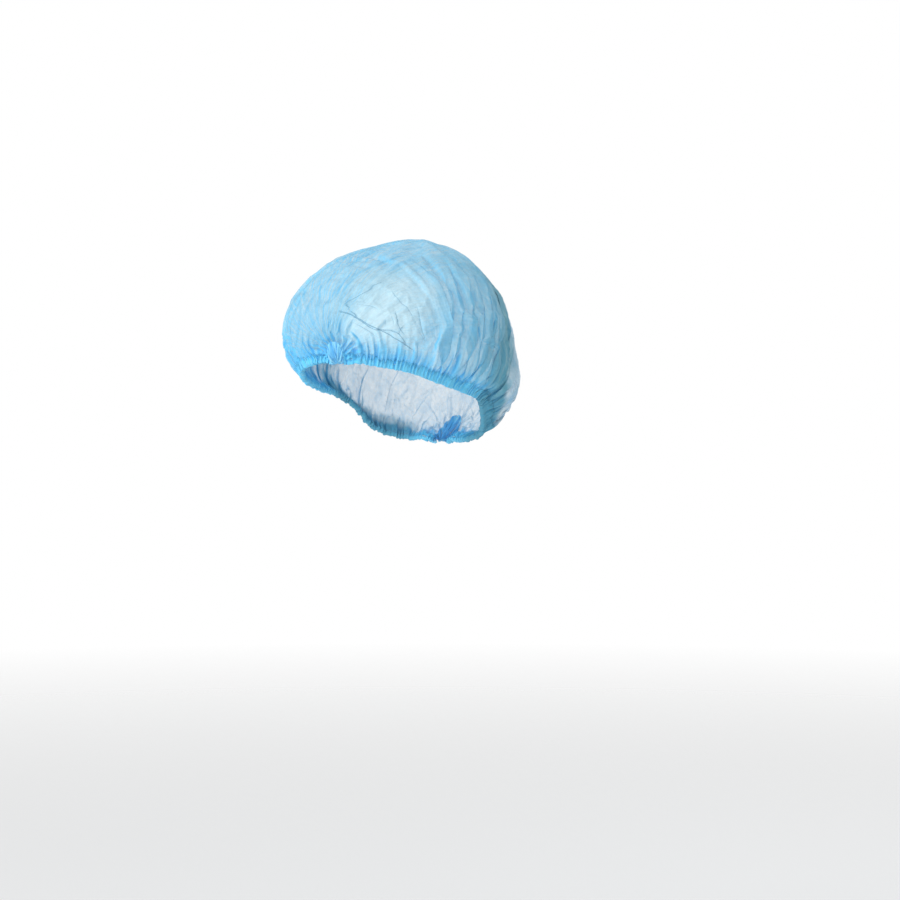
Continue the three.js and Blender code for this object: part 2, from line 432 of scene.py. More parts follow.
CREASES = (
    # station and height up the left side in mm of each point, then the depth in mm
    (((0.088, 72), (0.090, 57), (0.095, 46), (0.106, 40), (0.128, 35), (0.158, 30),
      (0.193, 25), (0.223, 20)), 0.75),
    (((0.090, 57), (0.103, 66), (0.112, 74), (0.135, 79), (0.160, 82), (0.190, 90),
      (0.216, 95)), 0.5),
    (((0.100, 66), (0.094, 54), (0.092, 47), (0.100, 38), (0.123, 36), (0.150, 37),
      (0.172, 32), (0.196, 22)), 0.65),
    (((0.178, 60), (0.172, 50), (0.168, 42), (0.176, 37), (0.190, 31)), 0.55),
    (((0.075, 50), (0.082, 40), (0.100, 31), (0.118, 27)), 0.4),
    (((0.235, 66), (0.228, 52), (0.232, 40), (0.246, 28)), 0.45),
    (((0.205, 84), (0.198, 72), (0.206, 60), (0.216, 46)), 0.35),
    (((0.128, 35), (0.140, 44), (0.146, 52)), 0.35),
    (((0.158, 30), (0.170, 38), (0.186, 44), (0.200, 46)), 0.35),
    (((0.112, 74), (0.122, 66), (0.138, 60), (0.150, 52)), 0.30),
    (((0.216, 46), (0.230, 36), (0.240, 26)), 0.35),
    (((0.150, 37), (0.160, 46), (0.162, 56)), 0.30),
)


class Tone(Enum):
    """The finish values that each cloth mesh carries for its material, painted light and painted shade among
    them.
    """

    DENSE = "dense"
    # painted light: a pale glow standing in for a lit white head showing through the cloth
    PALE = "pale"
    THIN = "thin"
    CREASE = "crease"
    # painted shade: darker, greyer cloth towards the back edge and along the nape
    DUSK = "dusk"
    STREAK = "streak"
    LENGTHWISE = "lengthwise"


@dataclass
class Relief:
    """What the folds do to a patch: its moved points and how its finish varies, 0 if not given."""

    points: Array
    tones: dict[Tone, Array] = field(default_factory=dict)


@dataclass(frozen=True)
class Tones:
    """Where the cloth is dense or thin, where it carries painted light (a pale glow) and painted shade (a
    darkening), and which way its wrinkles run.
    """

    # painted light: where the pale glow lies, how far it reaches and how mottled its edge is
    pale_middle: tuple[float, float] = (0.175, 75 * MM)
    pale_reach: float = 66 * MM
    pale_mottle: float = 9 * MM
    pouch_start: float = 0.604
    pouch_low_start: float = 0.13
    pouch_wander: float = 0.018
    gather_height: float = 13 * MM
    band_height: float = 13.0
    band_tongue: float = 15.0
    # painted shade, stronger on the left side than on the right, and along the nape
    side_dusk: tuple[float, float] = (0.95, 0.55)
    nape_dusk: float = 0.9

    def dense(self, patch: ClothPatch, points: Array, crowded: Array) -> Array:
        """Where more than one layer lies behind another.

        Args:
            patch: The cloth on the smooth form.
            points: The same cloth with its folds.
            crowded: 1 in the valleys of the gathers, 0 on their ridges.

        Returns:
            0 where the cloth is single to 1 where it is deep.
        """
        facing = np.abs(np.sum(surface_normals(points) * patch.normal, axis=-1))
        steep = (1 / np.maximum(facing, 0.25) - 1) / 1.1
        by_hem = np.exp(-(((patch.up - self.gather_height) / self.gather_height) ** 2))
        ragged = Cloudy(Seed.DENSE_EDGE, 256).at(patch.station[:, None] * 95, patch.up / 0.05, 2)
        tongue = (self.band_height + self.band_tongue * np.clip(ragged + 0.25, 0, 1.4)) * MM
        band = 1 - smooth(patch.up, 0.55 * tongue, 1.25 * tongue)
        return np.clip(steep + 0.50 * crowded * by_hem + 0.62 * band, 0, 1)

    def pale(self, patch: ClothPatch) -> Array:
        """Painted light: the pale glow on the left side, standing in for a lit white head showing through the
        cloth, with a mottled edge.

        Args:
            patch: The cloth on the smooth form.

        Returns:
            1 in it to 0 elsewhere.
        """
        station = self.pale_middle[0] + np.array([-0.002, 0, 0.002])
        up = self.pale_middle[1] + np.zeros((3, 1)) + np.array([[0.0, 0.001]])
        middle = ClothPatch(patch.form, station, up, np.ones(2)).points[1, 0]
        away = np.linalg.norm(patch.points - middle, axis=-1)
        mottle = Cloudy(Seed.MOTTLE).at(patch.station[:, None] * 16, patch.across / 0.02, 3)
        return 1 - smooth(away + self.pale_mottle * mottle, 0.35 * self.pale_reach, self.pale_reach)

    def pouch(self, patch: ClothPatch, before: float, after: float) -> Array:
        """The slack pouch at the back.

        Args:
            patch: The cloth on the smooth form.
            before: How far before the pouch's start the value leaves 0, as a station.
            after: How far behind it the value reaches 1.

        Returns:
            0 before the pouch to 1 in it, with a soft wandering edge.
        """
        start = self.pouch_start + self.pouch_low_start * (1 - smooth(patch.up, 14 * MM, 38 * MM))
        drift = self.pouch_wander * Cloudy(Seed.POUCH_EDGE).at(patch.up / 0.020, octaves=2)
        return smooth(patch.station[:, None] + drift, start - before, start + after)

    def thin(self, patch: ClothPatch, level: Array, edges: Array) -> Array:
        """How clear the cloth is.

        Args:
            patch: The cloth on the smooth form.
            level: The level of each crumpled facet.
            edges: The creases between the facets.

        Returns:
            0 for plain cloth to 1 and a little over for the clearest facets of the pouch.
        """
        pouch = self.pouch(patch, 0.010, 0.055)
        below_top = 1 - smooth(patch.up, 110 * MM, 140 * MM)
        above_hem = smooth(patch.up, 14 * MM, 22 * MM)
        return pouch * below_top * above_hem * np.clip(1 + 0.30 * level - 0.25 * edges, 0, 1.3)

    def dusk(self, patch: ClothPatch) -> Array:
        """Painted shade: how far the cloth is darkened and greyed towards the back edge and along the nape,
        standing in for the shade there.

        Args:
            patch: The cloth on the smooth form.

        Returns:
            0 where it isn't, to 1.
        """
        station, up = patch.station[:, None], patch.up
        behind = 0.27 * smooth(station, 0.29, 0.45) + 0.73 * smooth(station, 0.46, 0.585)
        pouch = 1 - 0.75 * self.pouch(patch, 0.010, 0.075)
        above_hem = smooth(up, 8 * MM, 26 * MM)
        before_nape = 1 - 0.8 * smooth(station, 0.63, 0.90)
        by_side = np.where(patch.side > 0, *self.side_dusk)
        below_top = 1 - 0.6 * smooth(up, 120 * MM, 190 * MM)
        dusk = behind * pouch * above_hem * before_nape * by_side * below_top
        nape = smooth(station, 0.50, 0.60) * (1 - smooth(station, 0.88, 0.96))
        return np.maximum(dusk, self.nape_dusk * nape * (1 - smooth(up, 20 * MM, 34 * MM)))

    def lengthwise(self, patch: ClothPatch) -> Array:
        """Where the wrinkles run from brow to nape: over the crest and the brow.

        Args:
            patch: The cloth on the smooth form.

        Returns:
            1 there to 0 elsewhere.
        """
        station = patch.station[:, None]
        crest = 1 - smooth(np.abs(patch.share), 0.30, 0.55)
        blur = 0.05 * Cloudy(Seed.LENGTHWISE_EDGE).at(station * 30, patch.across / 0.02, 2)
        brow = 1 - smooth(station + blur, 0.17, 0.38)
        value = np.maximum(crest * (1 - 0.7 * smooth(station, 0.42, 0.58)), brow)
        return value * smooth(patch.up, 8 * MM, 20 * MM)

    def all(self, patch: ClothPatch, points: Array, crowded: Array, level: Array,
            edges: Array) -> dict[Tone, Array]:
        """Every tone but the creases.

        Args:
            patch: The cloth on the smooth form.
            points: The same cloth with its folds.
            crowded: 1 in the valleys of the gathers, 0 on their ridges.
            level: The level of each crumpled facet.
            edges: The creases between the facets.

        Returns:
            The value of each tone at each point.
        """
        pale = self.pale(patch)
        far_brow = 1 - smooth(patch.station[:, None], 0.26, 0.42)
        far_brow = far_brow * (1 - smooth(patch.share, 0.05, 0.40))
        return {
            Tone.DENSE: self.dense(patch, points, crowded),
            Tone.PALE: pale * (1 - 0.5 * far_brow),
            Tone.THIN: self.thin(patch, level, edges),
            Tone.DUSK: self.dusk(patch),
            Tone.STREAK: (0.60 + 0.55 * far_brow) * (1 - 0.6 * pale * (1 - far_brow)),
            Tone.LENGTHWISE: self.lengthwise(patch),
        }


@dataclass
class Folds:
    """Everything that lifts the cloth off the smooth worn form, with the strip's flat size."""

    length: float = 0.40
    width: float = 0.41
    tones: Tones = Tones()
    gathers: PleatSet = PleatSet(84, 1.00 * MM, 15 * MM, 0.0, 0.0030, Seed.GATHERS)
    middling: PleatSet = PleatSet(46, 1.05 * MM, 48 * MM, 0.20, 0.0060, Seed.MIDDLING_PLEATS)
    long: PleatSet = PleatSet(24, 1.30 * MM, 85 * MM, 0.26, 0.0120, Seed.LONG_PLEATS)
    broad: PleatSet = PleatSet(10, 0.80 * MM, 150 * MM, 0.40, 0.0160, Seed.BROAD_PLEATS)
    fan_leaves: int = 13
    fan_height: float = 1.5 * MM
    fan_reach: float = 0.060
    ray_leaves: int = 25
    ray_height: float = 0.55 * MM
    ray_reach: float = 0.20
    calm_middle: tuple[float, float] = (0.185, 72 * MM)
    calm_size: tuple[float, float] = (0.105, 52 * MM)
    calm_depth: float = 0.72
    girth: float = 0.30
    crease_reach: float = 1.0 * MM
    crease_depth: float = 0.45 * MM
    crumple_cell: float = 8.5 * MM
    crumple_height: float = 0.9 * MM
    crumple_stretch: float = 1.5
    crumple_bend: float = 0.004
    crumple_blend: float = 0.003
    crumple_edge: float = 0.0016
    streak_height: float = 0.32 * MM
    loose_tucks: int = 60
    first_tuck: float = 0.29
    front_lap: float = 1.35
    back_lap_cut: float = 0.55

    def calm(self, patch: ClothPatch) -> Array:
        """How far the cloth is pulled flat over the left of the brow.

        Args:
            patch: The cloth on the smooth form.

        Returns:
            1 in the calm place to 0 elsewhere.
        """
        ds = (patch.station[:, None] - self.calm_middle[0]) / self.calm_size[0]
        du = (patch.up - self.calm_middle[1]) / self.calm_size[1]
        return np.exp(-((ds * ds + du * du) ** 2)) * (patch.side > 0)

    def lap_limit(self, station: float) -> float:
        """How far a pleat may lie over, in its own widths: less at the back, where it would hide light."""
        return float(self.front_lap - self.back_lap_cut * smooth(np.float64(station), 0.42, 0.50))

    def tucks(self) -> list[Tuck]:
        """The laid pleats.

        Returns:
            Those of the table, then looser ones all round from a fixed seed.
        """
        rows = [Tuck(s, d, side, w * MM, min(lap, self.lap_limit(s) * w) * MM, low * MM, high * MM)
                for s, d, side, w, lap, low, high in LAID_PLEATS]
        rng = np.random.default_rng(Seed.LOOSE_PLEATS)
        for _ in range(self.loose_tucks):
            side = int(rng.choice((-1, 1)))
            station = rng.uniform(0.05, 0.97)
            width, reach = rng.uniform(1.7, 2.9) * MM, rng.uniform(40, 170) * MM
            low, drift = rng.choice((6, 30, 60)) * MM, rng.uniform(-0.03, 0.05)
            lap = width * rng.uniform(0.7, 1.0) * self.lap_limit(station)
            if station >= self.first_tuck:
                rows.append(Tuck(station, drift, side, width, lap, low, low + reach))
        return rows

    def crumple(self, patch: ClothPatch) -> tuple[Array, Array]:
        """Crumpled facets and the creases between them.

        Args:
            patch: The cloth that they lie in.

        Returns:
            The level of each facet from -1 to 1, and its creases from 0 to 1.
        """
        stretch = self.crumple_stretch
        along, across = patch.station[:, None] * self.length, patch.across / stretch
        bend = Cloudy(Seed.CRUMPLE_BEND).at(along / 0.02, across / 0.013)
        along = along + bend * self.crumple_bend
        cells = int(self.length * self.width / self.crumple_cell**2 / stretch)
        rng = np.random.default_rng(Seed.CRUMPLE)
        levels = rng.uniform(-1, 1, cells)
        tree = mathutils.kdtree.KDTree(cells)
        for index in range(cells):
            place = rng.uniform(0, self.length), rng.uniform(-0.5, 0.5) * self.width / stretch, 0
            tree.insert(place, index)
        tree.balance()
        gap, level = np.empty(along.shape), np.empty(along.shape)
        for point in np.ndindex(along.shape):
            near, next_near = tree.find_n((along[point], across[point], 0), 2)
            gap[point] = next_near[2] - near[2]
            share = 0.5 + 0.5 * min(1.0, gap[point] / self.crumple_blend)
            level[point] = levels[near[1]] * share + levels[next_near[1]] * (1 - share)
        return level, 1 - smooth(gap, 0, self.crumple_edge)

    def creases(self, patch: ClothPatch) -> Array:
        """The sharp creases of the table.

        Args:
            patch: The cloth that they lie in.

        Returns:
            Each crease's depth in mm on its line, falling to 0 beside it.
        """
        along, lift = patch.station[:, None] * self.girth, patch.up
        total = np.zeros(lift.shape)
        for points, depth in CREASES:
            rows = np.array(points) * (self.girth, MM)
            for (ax, ay), (bx, by) in zip(rows[:-1], rows[1:]):
                run = (bx - ax) ** 2 + (by - ay) ** 2
                share = np.clip(((along - ax) * (bx - ax) + (lift - ay) * (by - ay)) / run, 0, 1)
                gap = np.hypot(along - ax - share * (bx - ax), lift - ay - share * (by - ay))
                total = np.maximum(total, depth * np.exp(-((gap / self.crease_reach) ** 2)))
        return total * (patch.side > 0)

    def fan(self, patch: ClothPatch) -> Array:
        """Leaves, and finer rays beyond them, that spread over the cloth from the weld at each end.

        Args:
            patch: The cloth on the smooth form.

        Returns:
            The rise in metres.
        """
        station, share = patch.station[:, None], patch.share
        total = np.zeros(share.shape)
        ray_share = self.ray_height / self.fan_height * np.where(share < 0.25, 1.3, 0.9)
        for end, seed in ((0.0, Seed.FRONT_FAN), (1.0, Seed.BACK_FAN)):
            away = np.abs(station - end)
            drift = 0.35 * Cloudy(seed).at(away / 0.03, share * 2.5)
            leaves = np.cos(np.pi * (self.fan_leaves * share + drift))
            total += leaves * np.exp(-((away / self.fan_reach) ** 2)) * np.minimum(1, 0.35 + away / 0.02)
            drift = 0.8 * Cloudy(seed + 1).at(away / 0.07, share * 4)
            rays = np.cos(np.pi * (self.ray_leaves * share + drift))
            uneven = 0.6 + 0.6 * Cloudy(seed + 4).at(away / 0.06, share * 6)
            fade = np.exp(-((away / self.ray_reach) ** 2))
            total += ray_share * rays * uneven * smooth(away, 0.02, 0.06) * fade
        return self.fan_height * total

    def sway(self, patch: ClothPatch) -> tuple[Array, Array]:
        """The wider pleats, which the elastic follows too.

        Args:
            patch: The cloth on the smooth form.

        Returns:
            The rise and the lean in metres.
        """
        station = patch.station[:, None]
        calm = self.calm_depth * self.calm(patch)
        from_end = np.minimum(station, 1 - station)
        low = 1 - smooth(patch.up, 14 * MM, 42 * MM)
        spread = 1 - (1 - smooth(from_end, 0.12, 0.34)) * (1 - low)
        spread = spread * (0.35 + 0.65 * smooth(patch.up, 2 * MM, 20 * MM))
        rise = self.fan(patch) * (1 - 0.6 * calm)
        lean = np.zeros(rise.shape)
        for pleats, held in ((self.middling, 1.0), (self.long, 1.0), (self.broad, 0.6)):
            lift, push = pleats.fold(patch)
            share = (1 - held * calm) * spread
            rise, lean = rise + lift * share, lean + push * share
        return rise, lean

    def streaks(self, patch: ClothPatch) -> Array:
        """Fine wrinkles along the pleats.

        Args:
            patch: The cloth on the smooth form.

        Returns:
            Their height, from -1 to 1.
        """
        along, across = patch.station[:, None] * self.length, patch.across
        bent = along + 0.004 * Cloudy(Seed.STREAK_BEND).at(along / 0.03, across / 0.03)
        fine = Cloudy(Seed.FINE_STREAKS, 256).at(bent / 0.0026, across / 0.030, 2)
        coarse = Cloudy(Seed.COARSE_STREAKS, 256).at(bent / 0.0060, across / 0.050)
        return 0.6 * fine + 0.4 * coarse

    def relief(self, patch: ClothPatch, bare: bool = False, shift: Array | float = 0.0) -> Relief:
        """Lays every fold into a patch.

        Args:
            patch: The cloth on the smooth form.
            bare: Whether only the gathers are wanted, as in the doubled hem.
            shift: How far the settled slack moves each point.

        Returns:
            The moved points, and the finish values at each.
        """
        up, station = patch.up, patch.station[:, None]
        calm = self.calm_depth * self.calm(patch)
        rise, lean = self.gathers.fold(patch)
        crowded = 0.5 - 0.5 * rise / self.gathers.height
        low = 1 - smooth(up / patch.half, 0.25, 0.80)
        lift, push = self.sway(patch)
        rise, lean = rise * low + lift, lean * low + push
        crease, level, edges = np.zeros((3, *up.shape))
        if not bare:
            above = smooth(up, 6 * MM, 24 * MM)
            for tuck in self.tucks():
                lift, push = tuck.fold(patch, self.length)
                rise, lean = rise + lift, lean + push
            from_end = np.minimum(station, 1 - station)
            fine = self.streaks(patch) * smooth(from_end, 0.14, 0.30)
            rise = rise + self.streak_height * fine * above * (1 - 0.5 * calm)
            level, edges = self.crumple(patch)
            crest = np.exp(-((patch.share / 0.28) ** 2)) * (1 - smooth(station, 0.30, 0.42))
            slack = smooth(station, 0.50, 0.64) + 0.22 * (patch.side < 0) + 0.16 + 0.22 * crest
            slack = np.minimum(1, slack) * above * (1 - calm)
            rise = rise + self.crumple_height * slack * (0.7 * level + 0.3 * edges)
            sharp = self.creases(patch)
            rise = rise - self.crease_depth * sharp * above
            crease = np.maximum(0.3 * sharp, 0.18 * edges * slack)
        points = patch.points + patch.normal * rise[..., None] + patch.along * lean[..., None] + shift
        tones = self.tones.all(patch, points, crowded, level, edges)
        return Relief(points, {**tones, Tone.CREASE: crease})


def dress(piece: bpy.types.Object, node: str = "") -> None:
    """Hides the solid that a piece stands for, if any, and hangs the piece on the one body.

    Args:
        piece: The finished piece, which rides on the one body.
        node: The solid that it stands for, if any.
    """
    if node:
        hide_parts(node)
    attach(piece, "root")


@dataclass
class ClothMesh:
    """A cloth piece: a grid made by the grid operator, then laid in place."""

    name: str
    columns: int
    rows: int

    def grid(self) -> tuple[bpy.types.Mesh, Array, Array]:
        """A flat grid.

        Returns:
            The mesh, then the column and the row of each of its vertices.
        """
        bm = bmesh.new()
        bmesh.ops.create_grid(bm, x_segments=self.columns - 1, y_segments=self.rows - 1, size=0.5)
        mesh = bpy.data.meshes.new(self.name)
        bm.to_mesh(mesh)
        bm.free()
        places = np.empty(len(mesh.vertices) * 3)
        mesh.vertices.foreach_get("co", places)
        share = places.reshape(-1, 3)[:, :2] + 0.5
        column, row = np.rint(share * (self.columns - 1, self.rows - 1)).astype(int).T
        return mesh, column, row

    def build(self, relief: Relief, flat: Array, material: bpy.types.Material) -> bpy.types.Object:
        """Makes the piece.

        Args:
            relief: Where each grid point goes, columns first, and its finish values.
            flat: Where each point lies in the flat cloth, in metres.
            material: The finish.

        Returns:
            The new object, at the origin.
        """
        mesh, column, row = self.grid()
        points = relief.points[column, row]
        mesh.vertices.foreach_set("co", points.ravel())
        layer = mesh.uv_layers.new(name="cloth")
        corners = np.empty(len(mesh.loops), dtype=int)
        mesh.loops.foreach_get("vertex_index", corners)
        layer.uv.foreach_set("vector", flat[column, row][corners].astype(np.float32).ravel())
        for tone in Tone:
            value = np.broadcast_to(relief.tones.get(tone, 0.0), (self.columns, self.rows))
            attribute = mesh.attributes.new(tone.value, "FLOAT", "POINT")
            attribute.data.foreach_set("value", value[column, row].astype(np.float32))
        mesh.polygons.foreach_set("use_smooth", np.ones(len(mesh.polygons), dtype=bool))
        mesh.update()
        piece = bpy.data.objects.new(self.name, mesh)
        bpy.context.scene.collection.objects.link(piece)
        if material:
            mesh.materials.append(material)
        LOG.info("%s: %d triangles", self.name, 2 * len(mesh.polygons))
        return piece


def resample(grid: Array, columns: int, rows: int) -> Array:
    """A grid of vectors brought to another size by smooth cubic steps.

    Args:
        grid: The vectors, columns first.
        columns: The new number of columns.
        rows: The new number of rows.

    Returns:
        The new grid.
    """
    for axis, count in ((0, columns), (1, rows)):
        size = grid.shape[axis]
        place = np.linspace(0, size - 1, count)
        cell = np.minimum(place.astype(int), size - 2)
        t = (place - cell).reshape((-1, 1, 1) if axis == 0 else (1, -1, 1))
        a, b, c, d = (np.take(grid, np.clip(cell + k, 0, size - 1), axis) for k in (-1, 0, 1, 2))
        grid = b + 0.5 * t * (c - a + t * (2 * a - 5 * b + 4 * c - d + t * (3 * (b - c) + d - a)))
    return grid


def soften(grid: Array, steps: int) -> Array:
    """A grid of vectors averaged with its neighbours.

    Args:
        grid: The vectors, columns first.
        steps: How many times it is done.

    Returns:
        The new grid, of the same size.
    """
    for _ in range(steps):
        for axis in (0, 1):
            size = grid.shape[axis]
            low = np.take(grid, np.maximum(np.arange(size) - 1, 0), axis)
            high = np.take(grid, np.minimum(np.arange(size) + 1, size - 1), axis)
            grid = (low + 2 * grid + high) / 4
    return grid


@dataclass
class Settling:
    """A short cloth simulation in which the slack in the strip buckles by itself."""

    columns: int = 200
    rows: int = 131
    growth: float = 0.05
    pouch_growth: float = 0.13
    hold: float = 0.08
    bending: float = 4.0
    frames: int = 24
    kept_form: float = 0.85
    form_steps: int = 60
    hem_held: float = 19 * MM
    end_held: float = 0.02

    def run(self, mesh_piece: bpy.types.Object, station: Array, up: Array) -> Array:
        """Simulates a coarse copy of the crown.

        Args:
            mesh_piece: The coarse crown, which is removed afterwards.
            station: One value a column.
            up: Distance up from the hem of every point.

        Returns:
            How far each grid point moves, without the slow drift that would change the form.
        """
        mesh = mesh_piece.data
        spare, column, row = ClothMesh("spare", self.columns, self.rows).grid()
        bpy.data.meshes.remove(spare)
        from_end = np.minimum(station, 1 - station)[column]
        lift = up[column, row]
        held = np.where(lift < self.hem_held, 1.0, self.hold)
        held = np.maximum(held, 1 - np.clip(from_end / self.end_held, 0, 1))
        slack = smooth(station[column], 0.52, 0.68) * (1 - smooth(lift, 120 * MM, 170 * MM))
        for name, weights in (("held", held), ("slack", slack)):
            group = mesh_piece.vertex_groups.new(name=name)
            for index, weight in enumerate(weights):
                group.add([index], float(weight), "REPLACE")
        start = np.empty(len(mesh.vertices) * 3)
        mesh.vertices.foreach_get("co", start)
        cloth = mesh_piece.modifiers.new("cloth", "CLOTH")
        set_up = cloth.settings
        set_up.quality, set_up.mass, set_up.air_damping = 5, 0.05, 2.0
        set_up.tension_stiffness = set_up.compression_stiffness = 20
        set_up.shear_stiffness, set_up.bending_stiffness = 5, self.bending
        set_up.vertex_group_mass, set_up.pin_stiffness = "held", 1.0
        set_up.vertex_group_shrink = "slack"
        set_up.shrink_min, set_up.shrink_max = -self.growth, -self.pouch_growth
        set_up.effector_weights.gravity = 0
        cloth.collision_settings.use_collision = False
        for frame_number in range(1, self.frames + 1):
            bpy.context.scene.frame_set(frame_number)
        settled = mesh_piece.evaluated_get(bpy.context.evaluated_depsgraph_get()).data
        end = np.empty(start.size)
        settled.vertices.foreach_get("co", end)
        shift = np.empty((self.columns, self.rows, 3))
        shift[column, row] = (end - start).reshape(-1, 3)
        bpy.context.scene.frame_set(1)
        bpy.data.objects.remove(mesh_piece)
        bpy.data.meshes.remove(mesh)
        shift = shift - self.kept_form * soften(shift, self.form_steps)
        LOG.info("slack settled, moving the cloth by up to %.1f mm", np.abs(shift).max() / MM)
        return shift


@dataclass
class Crown:
    """The thin pleated strip from ear to ear."""

    form: WornForm
    folds: Folds
    settling: Settling
    columns: int = 500
    rows: int = 199
    hem_edge: float = 5.2 * MM
    crease_width: float = 3.2 * MM
    crease_across: int = 9
    crease_step: float = 0.8 * MM
    crease_lift: float = 0.10 * MM
    crease_height: float = 0.18 * MM
    crease_wander: float = 0.5 * MM
    crease_cell: float = 0.004
    crease_end: float = 0.010
    deepest: float = 0.75
    brow_place: float = 0.62
    brow_spread: float = 0.30
    brow_extra: float = 0.8
    hem_spread: float = 0.08
    hem_extra: float = 0.7
    samples: int = 801

    def places(self, rows: int) -> Array:
        """Places across the strip, closer together over the brow and by the hems.

        Args:
            rows: How many are wanted.

        Returns:
            The places, from -1 at the right hem to 1 at the left.
        """
        even = np.linspace(-1, 1, self.samples)
        brow = np.exp(-(((even - self.brow_place) / self.brow_spread) ** 4))
        hems = np.exp(-(((abs(even) - 1) / self.hem_spread) ** 2))
        weight = 1 + self.brow_extra * brow + self.hem_extra * hems
        total = np.concatenate([[0], np.cumsum((weight[1:] + weight[:-1]) / 2)])
        return np.interp(np.linspace(0, total[-1], rows), total, even)

    def patch(self, columns: int, rows: int) -> ClothPatch:
        """The whole strip on the smooth form.

        Args:
            columns: Points from weld to weld.
            rows: Points from hem to hem.

        Returns:
            The patch.
        """
        station, place = np.linspace(0, 1, columns), self.places(rows)
        half = run_lengths(self.form.half_arches(station))[:, -1:]
        up = self.hem_edge + (1 - np.abs(place)) * (half - self.hem_edge)
        return ClothPatch(self.form, station, up, np.where(place < 0, -1.0, 1.0))

    def settle(self) -> Array:
        """Returns:
            How far it moves each point of the finished grid.
        """
        size = self.settling.columns, self.settling.rows
        coarse = self.patch(*size)
        relief = self.folds.relief(coarse, bare=True)
        piece = ClothMesh("settling", *size).build(relief, np.zeros((*size, 2)), None)
        shift = self.settling.run(piece, coarse.station, coarse.up)
        return resample(shift, self.columns, self.rows)

    def on_surface(self, grid: Array, patch: ClothPatch, station: Array, up: Array) -> Array:
        """Values of a grid over the left half, at places between its points.

        Args:
            grid: The values, one vector a point of the crown.
            patch: The crown's cloth coordinates.
            station: The station of each place.
            up: Its distance up from the hem's lower edge.

        Returns:
            One vector for each place.
        """
        left = np.flatnonzero(patch.side > 0)
        place = station * (self.columns - 1)
        first = np.minimum(place.astype(int), self.columns - 2)
        out = np.zeros(station.shape + grid.shape[2:])
        for point in np.ndindex(station.shape):
            column, share = first[point], place[point] - first[point]
            for step, weight in ((0, column + 1 - place[point]), (1, share)):
                line, lifts = grid[column + step][left], patch.up[column + step][left]
                order = np.argsort(lifts)
                for k in range(grid.shape[2]):
                    out[point + (k,)] += weight * np.interp(up[point], lifts[order], line[order, k])
        return out

    def crease_line(self, number: int, corners: Array) -> tuple[Array, Array]:
        """The wandering middle line of one crease.

        Args:
            number: Its place in the table.
            corners: Its corners from the table, in metres along and up.

        Returns:
            Even points of the line, and the length run to each.
        """
        line = resample(corners[:, None], 8 * len(corners), 1)[:, 0]
        run = run_lengths(line[None])[0]
        even = np.linspace(0, run[-1], max(6, int(run[-1] / self.crease_step)))
        line = np.stack([np.interp(even, run, line[:, k]) for k in (0, 1)], 1)
        seed = Seed.CREASE_WANDER + number
        wander = np.stack([Cloudy(seed + k).at(even / self.crease_cell, octaves=2) for k in (0, 4)], 1)
        return line + self.crease_wander * wander, even

    def crease_laps(self, relief: Relief, patch: ClothPatch, material: bpy.types.Material) -> None:
        """Lays a narrow lap of cloth along each sharp crease of the table.

        Args:
            relief: The crown's folded cloth.
            patch: Its cloth coordinates.
            material: The finish of the laps.
        """
        normals = surface_normals(relief.points)
        if np.sum(normals * patch.normal) < 0:
            normals = -normals
        across = np.linspace(-0.5, 0.5, self.crease_across)[None]
        profile = 0.7 * np.exp(-((across / 0.17) ** 2)) + 0.3 * np.cos(np.pi * across) ** 2
        for number, (points, depth) in enumerate(CREASES):
            line, even = self.crease_line(number, np.array(points) * (self.folds.girth, MM))
            direction = unit(np.gradient(line, axis=0))
            square = np.stack([-direction[:, 1], direction[:, 0]], 1)
            ends = smooth(even, 0, self.crease_end)
            ends = ends * (1 - smooth(even, even[-1] - self.crease_end, even[-1]))
            width = self.crease_width * (0.6 + 0.6 * depth) * (0.55 + 0.45 * ends)
            places = line[:, None] + square[:, None] * (across * width[:, None])[..., None]
            station, up = places[..., 0] / self.folds.girth, places[..., 1]
            surface = self.on_surface(relief.points, patch, station, up)
            outward = unit(self.on_surface(normals, patch, station, up))
            lift = self.crease_lift + self.crease_height * profile * ends[:, None]
            # partly doubled cloth, partly painted shade: the lap is darkest along its middle
            dense = profile * (0.35 + 0.65 * depth / self.deepest) * ends[:, None]
            lap = Relief(surface + outward * lift[..., None], {Tone.DENSE: dense})
            flat = together(station * self.folds.length, up + 0.5)
            mesh = ClothMesh(f"crown_crease_{number + 1}", len(even), self.crease_across)
            dress(mesh.build(lap, flat, material))

    def build(self, material: bpy.types.Material, creased: bpy.types.Material) -> bpy.types.Object:
        """Makes the crown with its creases.

        Args:
            material: The finish of the cloth.
            creased: The finish of the creases' laps.

        Returns:
            The crown.
        """
        patch = self.patch(self.columns, self.rows)
        station = patch.station[:, None]
        turned = np.exp(-(((station - 0.56) / 0.08) ** 2)) * smooth(patch.up, 55 * MM, 85 * MM)
        kept = (1 - 0.65 * turned) * smooth(patch.up, 12 * MM, 32 * MM)
        relief = self.folds.relief(patch, shift=self.settle() * kept[..., None])
        self.crease_laps(relief, patch, creased)
        flat = together(station * self.folds.length, self.places(self.rows) * self.folds.width / 2)
        piece = ClothMesh("crown_cloth", self.columns, self.rows).build(relief, flat, material)
        dress(piece, "crown")
        return piece


